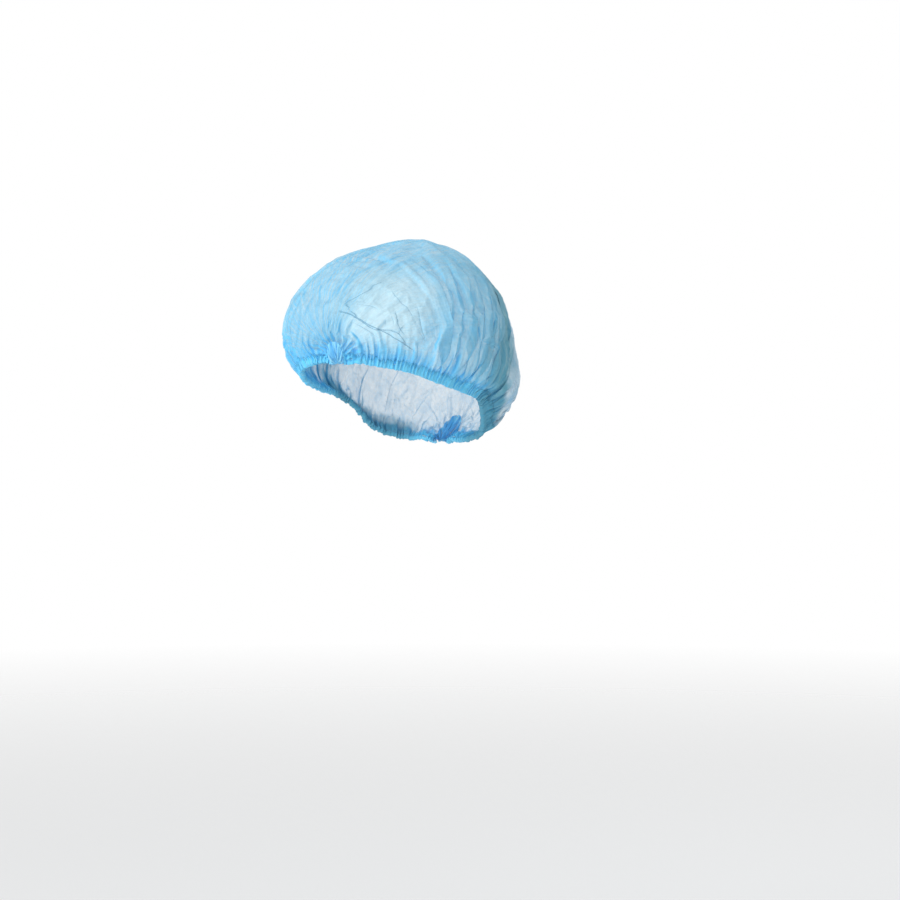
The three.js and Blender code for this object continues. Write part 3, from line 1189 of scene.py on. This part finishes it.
@dataclass
class Hem:
    """One long edge of the strip, folded round its elastic."""

    form: WornForm
    folds: Folds
    side: Side
    columns: int = 820
    rows: int = 44
    outer_height: float = 14.5 * MM
    inner_height: float = 10.5 * MM
    outer_gap: float = 0.55 * MM
    inner_gap: float = 0.75 * MM
    pocket_height: float = 4.6 * MM
    pocket_bulge: float = 1.35 * MM
    pocket_end: tuple[float, float] = (3.5 * MM, 8 * MM)
    edge_round: float = 1.3 * MM
    edge_clear: float = 1.2 * MM
    fold_share: float = 0.56
    flat_width: float = 0.026
    flat_start: float = 0.25
    band_share: float = 0.98
    guides: int = 9
    ragged_share: float = 0.20
    brow_cut: float = 0.22
    scallop_height: float = 0.22 * MM
    scallop_reach: float = 3 * MM

    def profile(self, station: Array) -> tuple[Array, Array]:
        """The folded section: height up the hem and distance off the crown cloth.

        Args:
            station: One value a column.

        Returns:
            The height and the distance outwards of every point, in metres.
        """
        run, station = np.linspace(0, 1, self.rows)[None], station[:, None]
        ragged = Cloudy(Seed.HEM_HEIGHT + self.side.value).at(station * 38, octaves=3)
        brow = np.exp(-(((station - 0.12) / 0.1) ** 2))
        outer = self.outer_height * (1 + self.ragged_share * ragged) * (1 - self.brow_cut * brow)
        fold, middle = self.fold_share, 0.5 * self.pocket_height
        down = np.clip(run / fold, 0, 1)
        back = np.clip((run - fold) / (1 - fold), 0, 1)
        up = np.where(run < fold, outer * (1 - down), self.inner_height * back)
        place = (up - middle) / middle
        bulge = self.pocket_bulge * np.exp(-place * place)
        round_off = np.sqrt(np.clip(up / self.edge_round, 0, 1))
        gap = self.outer_gap * (0.4 + 0.6 * smooth(down, 0.0, 0.5))
        out = np.where(run < fold, gap + bulge, -self.inner_gap - 0.7 * bulge)
        return up, out * round_off

    def laid(self, station: Array, up: Array) -> tuple[ClothPatch, Array]:
        """The section laid straight up the band of cloth by the hem.

        Args:
            station: One value a column.
            up: The height of each point up the hem.

        Returns:
            The patch, and the way up the band at each column.
        """
        sign, reach = float(self.side.value), self.form.band * self.band_share
        level = np.broadcast_to(np.linspace(0, reach, self.guides), (self.columns, self.guides))
        base = ClothPatch(self.form, station, level.copy(), np.full(self.guides, sign))
        foot, top, middle = base.points[:, :1], base.points[:, -1:], self.guides // 2
        patch = ClothPatch(self.form, station, up, np.full(self.rows, sign))
        patch.points = foot + (top - foot) * (up / reach)[..., None]
        patch.normal = np.broadcast_to(base.normal[:, middle:middle + 1], patch.points.shape)
        patch.along = np.broadcast_to(base.along[:, middle:middle + 1], patch.points.shape)
        return patch, unit(top - foot)

    def build(self, material: bpy.types.Material) -> bpy.types.Object:
        """Makes the hem.

        Args:
            material: The finish of the doubled cloth.

        Returns:
            The hem.
        """
        station, run = np.linspace(0, 1, self.columns), np.linspace(0, 1, self.rows)[None]
        up, out = self.profile(station)
        patch, climb = self.laid(station, up)
        relief = self.folds.relief(patch, bare=True)
        rise, _ = self.folds.gathers.fold(patch)
        outer = run < self.fold_share
        pocket, clear = 1 - smooth(up, *self.pocket_end), smooth(up, 0, self.edge_clear)
        puff = 0.5 * np.where(outer, self.folds.gathers.height + rise, rise - self.folds.gathers.height)
        shift = out + pocket * (puff - rise) * clear - 0.6 * pocket * rise * (1 - clear)
        fray = Cloudy(Seed.HEM_SCALLOP).at(station[:, None] * 120, octaves=2)
        scallop = (0.20 * rise + self.scallop_height * fray) * np.exp(-((up / self.scallop_reach) ** 2))
        relief.points = relief.points + patch.normal * shift[..., None] + climb * scallop[..., None]
        frayed = Cloudy(Seed.HEM_FADE, 256).at(station[:, None] * 150, octaves=2)
        fade_end = np.clip(0.55 + 0.30 * frayed, 0.25, 0.85)
        relief.tones[Tone.THIN] = np.where(outer, 1 - smooth(run / self.fold_share / fade_end, 0, 1), 0)
        flat = together(station[:, None] * self.folds.length, run * self.flat_width + self.flat_start)
        name = f"hem_{self.side.name.lower()}"
        piece = ClothMesh(f"{name}_cloth", self.columns, self.rows).build(relief, flat, material)
        dress(piece, name)
        return piece


@dataclass
class Elastic:
    """The ribbed strip that draws one hem in."""

    form: WornForm
    folds: Folds
    side: Side
    columns: int = 360
    around: int = 13
    width: float = 3.0 * MM
    thickness: float = 0.6 * MM
    middle_up: float = 2.9 * MM
    ends: tuple[float, float] = (0.020, 0.980)
    ribs: int = 90
    rib_height: float = 0.10
    squareness: float = 0.6
    flat_scale: float = 0.0006

    def build(self, material: bpy.types.Material) -> bpy.types.Object:
        """Makes the strip as a closed tube of flat section.

        Args:
            material: The finish of the elastic.

        Returns:
            The strip.
        """
        station = np.linspace(*self.ends, self.columns)
        angle = np.linspace(0, 2 * np.pi, self.around)[None]
        ribs = 1 + self.rib_height * np.cos(station[:, None] * 2 * np.pi * self.ribs)
        flat_round = np.sign(np.cos(angle)) * np.abs(np.cos(angle)) ** self.squareness
        up = self.middle_up + 0.5 * self.width * flat_round
        level = np.broadcast_to([MM, self.form.band], (self.columns, 2))
        patch = ClothPatch(self.form, station, level.copy(), np.full(2, float(self.side.value)))
        sway = 0.2 * self.folds.gathers.fold(patch)[0] + self.folds.sway(patch)[0]
        out = 0.5 * self.thickness * np.sin(angle) * ribs + sway[:, :1]
        foot, top = patch.points[:, :1], patch.points[:, 1:]
        points = foot + unit(top - foot) * up[..., None] + patch.normal[:, :1] * out[..., None]
        flat = together(station[:, None] * self.folds.length, angle * self.flat_scale)
        name = f"elastic_{self.side.name.lower()}"
        mesh = ClothMesh(f"{name}_strip", self.columns, self.around)
        piece = mesh.build(Relief(points), flat, material)
        close_tube(piece.data)
        dress(piece, name)
        return piece


def close_tube(mesh: bpy.types.Mesh) -> None:
    """Merges the long seam of a rolled grid, fills its two ends and turns its faces outwards.

    Args:
        mesh: The rolled grid, which is changed in place.
    """
    bm = bmesh.new()
    bm.from_mesh(mesh)
    bmesh.ops.remove_doubles(bm, verts=bm.verts, dist=0.01 * MM)
    open_edges = [edge for edge in bm.edges if edge.is_boundary]
    bmesh.ops.holes_fill(bm, edges=open_edges, sides=0)
    bmesh.ops.recalc_face_normals(bm, faces=bm.faces)
    bm.to_mesh(mesh)
    bm.free()


@dataclass
class Weld:
    """The bunched and heat-welded end of the strip, a fan of leaves on a crimped bar."""

    form: WornForm
    name: str
    at_nape: bool
    leaves: int = 9
    columns: int = 180
    rows: int = 46
    stations: tuple[float, float, float] = (0.0, 0.004, 0.008)
    foot_pinch: float = 0.62
    leaf_height: float = 1.9 * MM
    leaf_uneven: float = 0.5 * MM
    ripple_height: float = 0.35 * MM
    ripple_turns: float = 22
    crimps: int = 26
    crimp_height: float = 0.35 * MM
    crimp_reach: float = 0.10
    puff_height: float = 2.6 * MM
    sunk: float = 1.2 * MM
    swing_height: float = 0.9 * MM
    flat_size: float = 0.02

    def build(self, material: bpy.types.Material) -> bpy.types.Object:
        """Makes the fan that fills the first arch of the crown.

        Args:
            material: The finish of the welded cloth.

        Returns:
            The fan.
        """
        end, inward = (1.0, -1.0) if self.at_nape else (0.0, 1.0)
        station = end + inward * np.array(self.stations)
        sweep = np.linspace(-1, 1, self.columns)
        half = run_lengths(self.form.half_arches(station))[:, -1:]
        up = (1 - np.abs(sweep)) * half
        arch = ClothPatch(self.form, station, up, np.where(sweep < 0, -1.0, 1.0))
        rim = arch.points[1]
        out = unit(unit(arch.normal[1]).mean(axis=0))
        foot_middle = 0.5 * (rim[0] + rim[-1])
        pinch = np.array([self.foot_pinch, self.foot_pinch, 0.0])
        foot = foot_middle + (rim - foot_middle) * pinch * np.abs(sweep)[:, None]
        r = np.linspace(0, 1, self.rows)[None]
        drift = 0.12 * Cloudy(Seed.WELD_LEAVES + int(end)).at(sweep * 4)
        phase = (np.pi * (self.leaves * sweep + drift))[:, None]
        deep = self.leaf_height * np.cos(phase) + self.leaf_uneven * np.cos(2.7 * phase + 1)
        bent = 2.5 * Cloudy(Seed.WELD_RIPPLE).at(sweep * 9)[:, None]
        ripple = self.ripple_height * np.sin(r * self.ripple_turns + bent)
        rise = deep * np.sin(np.pi * np.clip(0.18 + 0.72 * r, 0, 1)) + ripple * (1 - r)
        bar = self.crimp_height * np.cos(sweep * np.pi * self.crimps)[:, None]
        crimp = bar * np.exp(-((r / self.crimp_reach) ** 2))
        puff = self.puff_height * np.sin(np.pi * r) ** 0.8 + 1.0 * MM
        points = foot[:, None] + (rim - foot)[:, None] * r[..., None]
        points = points + out * (rise + crimp + puff - self.sunk)[..., None]
        swing = self.swing_height * np.sin(2 * phase) * np.sin(np.pi * r)
        points = points + unit(np.cross(out, [0, 0, 1.0])) * swing[..., None]
        # Painted shade: the valleys between the leaves take the dark deep colour, and the ridges stay light.
        facing = np.clip(0.5 - 0.6 * np.cos(phase), 0, 1) ** 2
        tones = {Tone.DENSE: 0.05 + 1.1 * facing, Tone.STREAK: np.array(0.7)}
        flat = together(sweep[:, None] * self.flat_size, r * self.flat_size)
        mesh = ClothMesh(f"{self.name}_fan", self.columns, self.rows)
        piece = mesh.build(Relief(points, tones), flat, material)
        dress(piece, self.name)
        return piece


class Shader:
    """A material's or group's nodes, with short ways to add and join them."""

    def __init__(self, tree: bpy.types.NodeTree) -> None:
        """Starts from an empty tree."""
        self.tree = tree
        tree.nodes.clear()

    def add(self, kind: str, inputs: dict | None = None, **settings: object) -> bpy.types.Node:
        """Adds a node.

        Args:
            kind: The node's class name.
            inputs: A value or a socket for inputs by name or number.
            settings: The node's own properties.

        Returns:
            The node.
        """
        node = self.tree.nodes.new(kind)
        for key, value in settings.items():
            setattr(node, key, value)
        for key, value in (inputs or {}).items():
            if isinstance(value, bpy.types.NodeSocket):
                self.tree.links.new(value, node.inputs[key])
            else:
                node.inputs[key].default_value = value
        return node

    def math(self, operation: str, *values: object) -> bpy.types.NodeSocket:
        """One step of arithmetic on numbers or sockets."""
        return self.add("ShaderNodeMath", dict(enumerate(values)), operation=operation).outputs[0]

    def mix(self, share: object, low: object, high: object) -> bpy.types.NodeSocket:
        """A colour between two, by a share from 0 to 1."""
        node = self.add("ShaderNodeMix", {0: share, 6: low, 7: high}, data_type="RGBA")
        return node.outputs[2]

    def tone(self, tone: Tone) -> bpy.types.NodeSocket:
        """One of the finish values that the mesh carries."""
        return self.add("ShaderNodeAttribute", attribute_name=tone.value).outputs["Fac"]

    def ramp(self, value: object, low: float, high: float, start: float, end: float) -> bpy.types.NodeSocket:
        """A value mapped from low..high to start..end and held there."""
        return self.add("ShaderNodeMapRange", {0: value, 1: low, 2: high, 3: start, 4: end}).outputs[0]

    def vector(self, operation: str, first: object, second: object) -> bpy.types.NodeSocket:
        """One step of arithmetic on vectors, the second one a number where it is SCALE."""
        key = "Scale" if operation == "SCALE" else 1
        return self.add("ShaderNodeVectorMath", {0: first, key: second}, operation=operation).outputs[0]

    def turned(self, vector: object, degrees: float) -> bpy.types.NodeSocket:
        """A vector turned about Z."""
        inputs = {"Vector": vector, "Angle": math.radians(degrees)}
        return self.add("ShaderNodeVectorRotate", inputs, rotation_type="Z_AXIS").outputs[0]

    def noise(self, vector: object, scale: object, detail: float, **more: float) -> bpy.types.Node:
        """A noise texture, with more of its inputs by name."""
        return self.add("ShaderNodeTexNoise", {"Vector": vector, "Scale": scale, "Detail": detail, **more})

    def lines(self, noise: bpy.types.Node, width: float) -> bpy.types.NodeSocket:
        """1 along the lines where a noise passes its middle value, to 0 beside them."""
        away = self.math("ABSOLUTE", self.math("SUBTRACT", noise.outputs[0], 0.5))
        return self.ramp(away, 0.0, width, 1.0, 0.0)

    def surface(self, **inputs: object) -> None:
        """Ends a material in a Principled shader, spaces in its inputs' names given as underlines."""
        named = {key.replace("_", " "): value for key, value in inputs.items()}
        shader = self.add("ShaderNodeBsdfPrincipled", named)
        self.add("ShaderNodeOutputMaterial", {0: shader.outputs[0]})


def new_material(name: str) -> tuple[bpy.types.Material, Shader]:
    """Makes an empty material.

    Args:
        name: The material's name.

    Returns:
        The material and its nodes.
    """
    material = bpy.data.materials.new(name)
    material.use_nodes = True
    return material, Shader(material.node_tree)


def new_group(name: str, inputs: dict[str, float | None], outputs: Sequence[str]) -> bpy.types.NodeTree:
    """Makes an empty shader group.

    Args:
        name: The group's name.
        inputs: Each input and its default, or None for a vector.
        outputs: The names of its value outputs.

    Returns:
        The group's tree, without nodes.
    """
    tree = bpy.data.node_groups.new(name, "ShaderNodeTree")
    for key, default in inputs.items():
        kind = "NodeSocketVector" if default is None else "NodeSocketFloat"
        made = tree.interface.new_socket(name=key, in_out="INPUT", socket_type=kind)
        if default is not None:
            made.default_value = default
    for key in outputs:
        tree.interface.new_socket(name=key, in_out="OUTPUT", socket_type="NodeSocketFloat")
    return tree


def fibre_group() -> bpy.types.NodeTree:
    """Random fibres with a staggered grid of melted bond dots, as spunbonded cloth has.

    Returns:
        The group, with the outputs Fibres, Bonds, Cover and Height.
    """
    tree = new_group("spunbond", {"Vector": None, "Fibre mm": 0.16, "Bond mm": 1.25},
                     ("Fibres", "Bonds", "Cover", "Height"))
    s = Shader(tree)
    given = s.add("NodeGroupInput")
    in_mm = s.vector("SCALE", given.outputs[0], 1 / MM)
    scale = s.math("DIVIDE", 0.32, given.outputs[1])
    strands = None
    for number, degrees in enumerate((8, 52, 97, 143)):
        drawn = s.vector("MULTIPLY", s.turned(in_mm, degrees), (0.22, 1.0, 1.0))
        moved = s.vector("ADD", drawn, (7.3 * number, 3.1, 0))
        line = s.lines(s.noise(moved, scale, 2.0, Roughness=0.55), 0.09)
        strands = line if strands is None else s.math("MAXIMUM", strands, line)
    pitch = s.math("DIVIDE", 1.0, given.outputs[2])
    cells = s.add("ShaderNodeTexVoronoi", {"Vector": s.turned(in_mm, 45), "Scale": pitch, "Randomness": 0.05})
    bonds = s.ramp(cells.outputs["Distance"], 0.20, 0.32, 1.0, 0.0)
    cover = s.ramp(s.noise(in_mm, 0.23, 4.0, Roughness=0.6).outputs[0], 0.3, 0.7, 0.0, 1.0)
    height = s.math("SUBTRACT", s.math("MULTIPLY", strands, 0.6), bonds)
    s.add("NodeGroupOutput", {0: strands, 1: bonds, 2: cover, 3: height})
    return tree


def wrinkle_group() -> bpy.types.NodeTree:
    """Wispy wrinkles, drawn out along the strip or across it.

    Returns:
        The group, with the outputs Wrinkle from 0 to 1, Height, and Crinkle for broken fine lines.
    """
    tree = new_group("wrinkles", {"Vector": None, "Lengthwise": 0.0}, ("Wrinkle", "Height", "Crinkle"))
    s = Shader(tree)
    given = s.add("NodeGroupInput")
    bend = s.noise(given.outputs[0], 22.0, 1.0)
    push = s.vector("SCALE", s.vector("SUBTRACT", bend.outputs["Color"], (0.5, 0.5, 0.5)), 0.016)
    bent = s.vector("ADD", given.outputs[0], push)
    along, across = (s.noise(s.vector("MULTIPLY", bent, stretch), 22.0, 4.0, Roughness=0.62).outputs[0]
                     for stretch in ((1.0, 13.0, 1.0), (15.0, 1.3, 1.0)))
    blend = s.add("ShaderNodeMix", {0: given.outputs[1], 2: across, 3: along}, data_type="FLOAT").outputs[0]
    line = s.lines(s.noise(bent, 70.0, 2.0, Roughness=0.45, Distortion=0.8), 0.022)
    where = s.noise(bent, 34.0, 1.0)
    crinkle = s.math("MULTIPLY", line, s.ramp(where.outputs[0], 0.46, 0.62, 0.0, 1.0))
    height = s.math("SUBTRACT", blend, s.math("MULTIPLY", crinkle, 0.12))
    s.add("NodeGroupOutput", {0: s.ramp(blend, 0.30, 0.70, 0.0, 1.0), 1: height, 2: crinkle})
    return tree


@dataclass(frozen=True)
class ClothFinish:
    """Thin spunbonded cloth, bluer where it doubles, with painted light (a pale glow standing in for a lit
    white head showing through) and painted shade in its colour.
    """

    name: str
    blue: tuple[float, float, float]
    deep: tuple[float, float, float]
    # the colour of the painted pale glow, used for the pale wisps too
    pale: tuple[float, float, float]
    alpha: float
    alpha_dense: float
    # painted light: the pale glow makes the cloth this much more opaque
    alpha_pale: float
    alpha_thin: float
    roughness: float = 0.78
    sheen: float = 0.18
    bump: float = 0.35
    # painted shade: where its tone lies the cloth is made more opaque and multiplied towards this darker grey
    # teal
    alpha_dusk: float = 0.42
    dusk: tuple[float, float, float] = (0.15, 0.42, 0.42)
    haze: tuple[float, float, float] = (0.86, 0.92, 0.95)
    haze_share: float = 0.0
    crinkle_thin: float = 0.35
    fibre_mm: float = 0.16
    bond_mm: float = 1.25
    wisp_colour: float = 0.85
    folded_colour: float = 0.85
    dusk_colour: float = 0.95
    crease_colour: float = 0.42
    crease_shade: float = 0.52
    fibre_colour: float = 0.10
    fibre_white: tuple[float, float, float] = (0.86, 0.95, 1.0)
    alpha_wisp: float = 0.16
    alpha_cover: float = 0.16
    alpha_crease: float = 0.18
    alpha_fibre: float = 0.06
    alpha_bond: float = -0.07

    def build(self, fibres: bpy.types.NodeTree, wrinkles: bpy.types.NodeTree) -> bpy.types.Material:
        """Makes the material.

        Args:
            fibres: The shared fibre group.
            wrinkles: The shared wrinkle group.

        Returns:
            The material.
        """
        material, s = new_material(self.name)
        place = s.add("ShaderNodeUVMap", uv_map="cloth").outputs[0]
        web = s.add("ShaderNodeGroup", {0: place, 1: self.fibre_mm, 2: self.bond_mm}, node_tree=fibres)
        dense, pale, thin, crease, dusk, streak, lengthwise = (s.tone(tone) for tone in Tone)
        wisps = s.add("ShaderNodeGroup", {0: place, 1: lengthwise}, node_tree=wrinkles)
        blue_wisp, pale_wisp = (
            s.math("MULTIPLY", s.ramp(wisps.outputs[0], 0.50, full, 0.0, self.wisp_colour), streak)
            for full in (0.90, 0.12))
        # Painted light: the pale glow whitens the colour and makes the cloth more opaque, less so where it is
        # dense.
        whiten = s.math("MULTIPLY", pale, s.math("SUBTRACT", 1.0, s.math("MULTIPLY", dense, 0.75)))
        colour = s.mix(whiten, (*self.blue, 1), (*self.pale, 1))
        colour = s.mix(pale_wisp, colour, (*self.pale, 1))
        folded = s.math("MULTIPLY", dense, self.folded_colour)
        colour = s.mix(s.math("MAXIMUM", folded, blue_wisp), colour, (*self.deep, 1))
        # Painted shade: the colour is multiplied towards a darker grey teal towards the back edge and the
        # nape.
        dim = s.math("MULTIPLY", dusk, self.dusk_colour)
        colour = s.add("ShaderNodeMix", {0: dim, 6: colour, 7: (*self.dusk, 1)}, data_type="RGBA",
                       blend_type="MULTIPLY").outputs[2]
        colour = s.mix(s.math("MULTIPLY", thin, self.haze_share), colour, (*self.haze, 1))
        fine = s.ramp(thin, 0.0, 1.0, 0.35, self.crinkle_thin)
        crinkle = s.math("MULTIPLY", wisps.outputs["Crinkle"], fine)
        crinkle = s.math("MULTIPLY", crinkle, s.ramp(streak, 0.0, 0.5, 0.0, 1.0))
        crease = s.math("MAXIMUM", crease, crinkle)
        # Partly doubled cloth, partly painted shade: creases and crinkles mix the colour towards a darker
        # blue.
        shade = tuple(c * self.crease_shade for c in self.blue)
        colour = s.mix(s.math("MULTIPLY", crease, self.crease_colour), colour, (*shade, 1))
        tint = s.math("MULTIPLY", web.outputs["Fibres"], self.fibre_colour)
        colour = s.mix(tint, colour, (*self.fibre_white, 1))
        alpha = self.alpha
        for value, weight in (
            (dense, self.alpha_dense), (pale, self.alpha_pale), (thin, self.alpha_thin),
            (dusk, self.alpha_dusk), (s.math("SUBTRACT", blue_wisp, pale_wisp), self.alpha_wisp),
            (s.math("SUBTRACT", web.outputs["Cover"], 0.5), self.alpha_cover),
            (crease, self.alpha_crease), (web.outputs["Fibres"], self.alpha_fibre),
            (web.outputs["Bonds"], self.alpha_bond),
        ):
            alpha = s.math("ADD", alpha, s.math("MULTIPLY", value, weight))
        alpha = s.ramp(alpha, 0.0, 1.0, 0.0, 1.0)
        wrinkled = s.add("ShaderNodeBump", {"Strength": 0.55, "Distance": 0.0030, "Height": wisps.outputs[1]})
        bump = s.add("ShaderNodeBump", {"Strength": self.bump, "Distance": 0.00012,
                                         "Height": web.outputs["Height"], "Normal": wrinkled.outputs[0]})
        s.surface(Base_Color=colour, Roughness=self.roughness, Alpha=alpha, Normal=bump.outputs[0],
                  Specular_IOR_Level=0.32, Sheen_Weight=self.sheen, Sheen_Roughness=0.45)
        return material


@dataclass(frozen=True)
class ElasticFinish:
    """White covered rubber with fine cross ribs."""

    name: str = "covered_elastic"
    colour: tuple[float, float, float] = (0.82, 0.88, 0.92)

    def build(self) -> bpy.types.Material:
        """Makes the material.

        Returns:
            The material.
        """
        material, s = new_material(self.name)
        place = s.add("ShaderNodeUVMap", uv_map="cloth").outputs[0]
        ribs = s.add("ShaderNodeTexWave", {"Vector": place, "Scale": 420.0, "Distortion": 0.6,
                                            "Detail": 1.0, "Detail Scale": 2.0}, wave_type="BANDS")
        # Painted shade: the grooves between the ribs are painted darker, 0.78 as bright.
        colour = s.mix(ribs.outputs["Fac"], (*(0.78 * c for c in self.colour), 1), (*self.colour, 1))
        bump = s.add("ShaderNodeBump", {"Strength": 0.5, "Distance": 0.0001, "Height": ribs.outputs["Fac"]})
        s.surface(Base_Color=colour, Roughness=0.6, Normal=bump.outputs[0],
                  Sheen_Weight=0.2, Sheen_Roughness=0.4)
        return material


LIGHTS = (
    # name, metres to the camera's right, up and towards it, side in metres, watts, colour
    ("key", -1.35, 0.75, 1.15, 1.1, 20.0, (1.0, 0.99, 0.97)),
    ("front", -0.25, 0.15, 1.9, 0.9, 5.0, (1.0, 1.0, 1.0)),
    ("rim", 0.9, 1.0, -1.1, 0.8, 6.0, (0.95, 0.98, 1.0)),
)


@dataclass
class Studio:
    """The camera at the photograph's angle, soft lights, a white surround and a pale floor."""

    azimuth: float = math.radians(30)
    elevation: float = math.radians(3)
    distance: float = 2.5
    field: float = 900 * 0.876 * MM
    sensor: float = 36.0
    aim_right: float = 50.1 * MM
    aim_up: float = -47.6 * MM
    floor_height: float = -0.62
    floor_radius: float = 3.4
    surround_light: float = 0.60
    light_aim: tuple[float, float, float] = (0.0, 0.01, 0.05)
    see_through: int = 40

    @property
    def axes(self) -> tuple[Vector, Vector, Vector]:
        """The camera's directions.

        Returns:
            Its right, its up and the way from the object to it.
        """
        sa, ca = math.sin(self.azimuth), math.cos(self.azimuth)
        se, ce = math.sin(self.elevation), math.cos(self.elevation)
        return Vector((ca, sa, 0)), Vector((-sa * se, ca * se, ce)), Vector((sa * ce, -ca * ce, se))

    def place(self, thing: bpy.types.Object, spot: Vector, target: Vector) -> None:
        """Puts a camera or light in its place.

        Args:
            thing: The camera or light.
            spot: Where it stands.
            target: What it faces.
        """
        bpy.context.scene.collection.objects.link(thing)
        thing.location = spot
        thing.rotation_euler = (target - spot).to_track_quat("-Z", "Y").to_euler()

    def camera(self) -> None:
        """Makes the camera."""
        right, up, towards = self.axes
        target = right * self.aim_right + up * self.aim_up
        data = bpy.data.cameras.new("camera")
        data.sensor_width = self.sensor
        data.lens = self.sensor * self.distance / self.field
        data.clip_end = 50
        thing = bpy.data.objects.new("camera", data)
        self.place(thing, target + towards * self.distance, target)
        bpy.context.scene.camera = thing

    def light(self, name: str, across: float, lift: float, front: float, size: float, power: float,
              colour: tuple[float, float, float]) -> None:
        """Makes one soft square light, placed by the camera's own directions.

        Args:
            name: The light's name.
            across: Metres to the camera's right.
            lift: Metres up.
            front: Metres towards the camera.
            size: Side in metres.
            power: Watts.
            colour: Its colour.
        """
        right, up, towards = self.axes
        data = bpy.data.lights.new(name, "AREA")
        data.size, data.energy, data.color = size, power, colour
        thing = bpy.data.objects.new(name, data)
        self.place(thing, right * across + up * lift + towards * front, Vector(self.light_aim))

    def surround(self) -> None:
        """A white surround, dimmer as light than as seen."""
        world = bpy.data.worlds.new("surround")
        bpy.context.scene.world = world
        world.use_nodes = True
        s = Shader(world.node_tree)
        path = s.add("ShaderNodeLightPath")
        strength = s.ramp(path.outputs["Is Camera Ray"], 0, 1, self.surround_light, 1.0)
        ground = s.add("ShaderNodeBackground", {"Color": (1, 1, 1, 1), "Strength": strength})
        s.add("ShaderNodeOutputWorld", {0: ground.outputs[0]})

    def floor(self) -> None:
        """A pale round floor that fades out at its rim."""
        bm = bmesh.new()
        bmesh.ops.create_circle(bm, cap_ends=True, segments=96, radius=self.floor_radius,
                                matrix=mathutils.Matrix.Translation((0, 0, self.floor_height)))
        mesh = bpy.data.meshes.new("floor")
        bm.to_mesh(mesh)
        bm.free()
        floor = bpy.data.objects.new("floor", mesh)
        bpy.context.scene.collection.objects.link(floor)
        material, s = new_material("pale_floor")
        place = s.add("ShaderNodeTexCoord").outputs["Object"]
        away = s.add("ShaderNodeVectorMath", {0: place}, operation="LENGTH").outputs["Value"]
        alpha = s.ramp(away, 0.8, self.floor_radius, 1.0, 0.0)
        s.surface(Base_Color=(0.93, 0.94, 0.95, 1), Roughness=0.7, Alpha=alpha)
        mesh.materials.append(material)

    def build(self) -> None:
        """Sets the whole stage."""
        self.camera()
        for row in LIGHTS:
            self.light(*row)
        self.surround()
        self.floor()
        bpy.context.scene.view_settings.view_transform = "Standard"
        bpy.context.scene.cycles.transparent_max_bounces = self.see_through


def main() -> None:
    logging.basicConfig(level=logging.INFO, format="%(name)s %(message)s")
    form, folds = WornForm(), Folds()
    fibres, wrinkles = fibre_group(), wrinkle_group()
    cloth = ClothFinish("thin_blue_cloth", (0.24, 0.69, 0.96), (0.06, 0.52, 0.93), (0.58, 0.86, 0.98),
                        alpha=0.56, alpha_dense=0.36, alpha_pale=0.20, alpha_thin=-0.07,
                        haze_share=0.55, crinkle_thin=1.2)
    doubled = ClothFinish("doubled_blue_cloth", (0.22, 0.73, 0.99), (0.06, 0.58, 0.95), (0.4, 0.8, 0.97),
                          alpha=0.88, alpha_dense=0.08, alpha_pale=0.0, alpha_thin=-1.05)
    # Its dark deep colour is painted shade in the valleys between the weld's leaves.
    welded = ClothFinish("welded_blue_cloth", (0.22, 0.70, 0.99), (0.02, 0.37, 0.80), (0.4, 0.8, 0.97),
                         alpha=0.95, alpha_dense=0.05, alpha_pale=0.0, alpha_thin=0.0, roughness=0.55)
    # The crease laps' darker grey blue is partly doubled cloth, partly painted shade in the creases.
    creased = ClothFinish("creased_blue_cloth", (0.20, 0.50, 0.70), (0.13, 0.40, 0.60), (0.5, 0.8, 0.95),
                          alpha=-0.14, alpha_dense=0.66, alpha_pale=0.0, alpha_thin=0.0)
    materials = [finish.build(fibres, wrinkles) for finish in (cloth, creased, doubled, welded)]
    cloth_material, creased_material, hem_material, weld_material = materials
    elastic_material = ElasticFinish().build()
    crown = Crown(form, folds, Settling()).build(cloth_material, creased_material)
    for side in Side:
        Hem(form, folds, side).build(hem_material)
    for side in Side:
        Elastic(form, folds, side).build(elastic_material)
    for name, at_nape in (("front_weld", False), ("back_weld", True)):
        Weld(form, name, at_nape).build(weld_material)
    Studio().build()


if __name__ == "__main__":
    main()
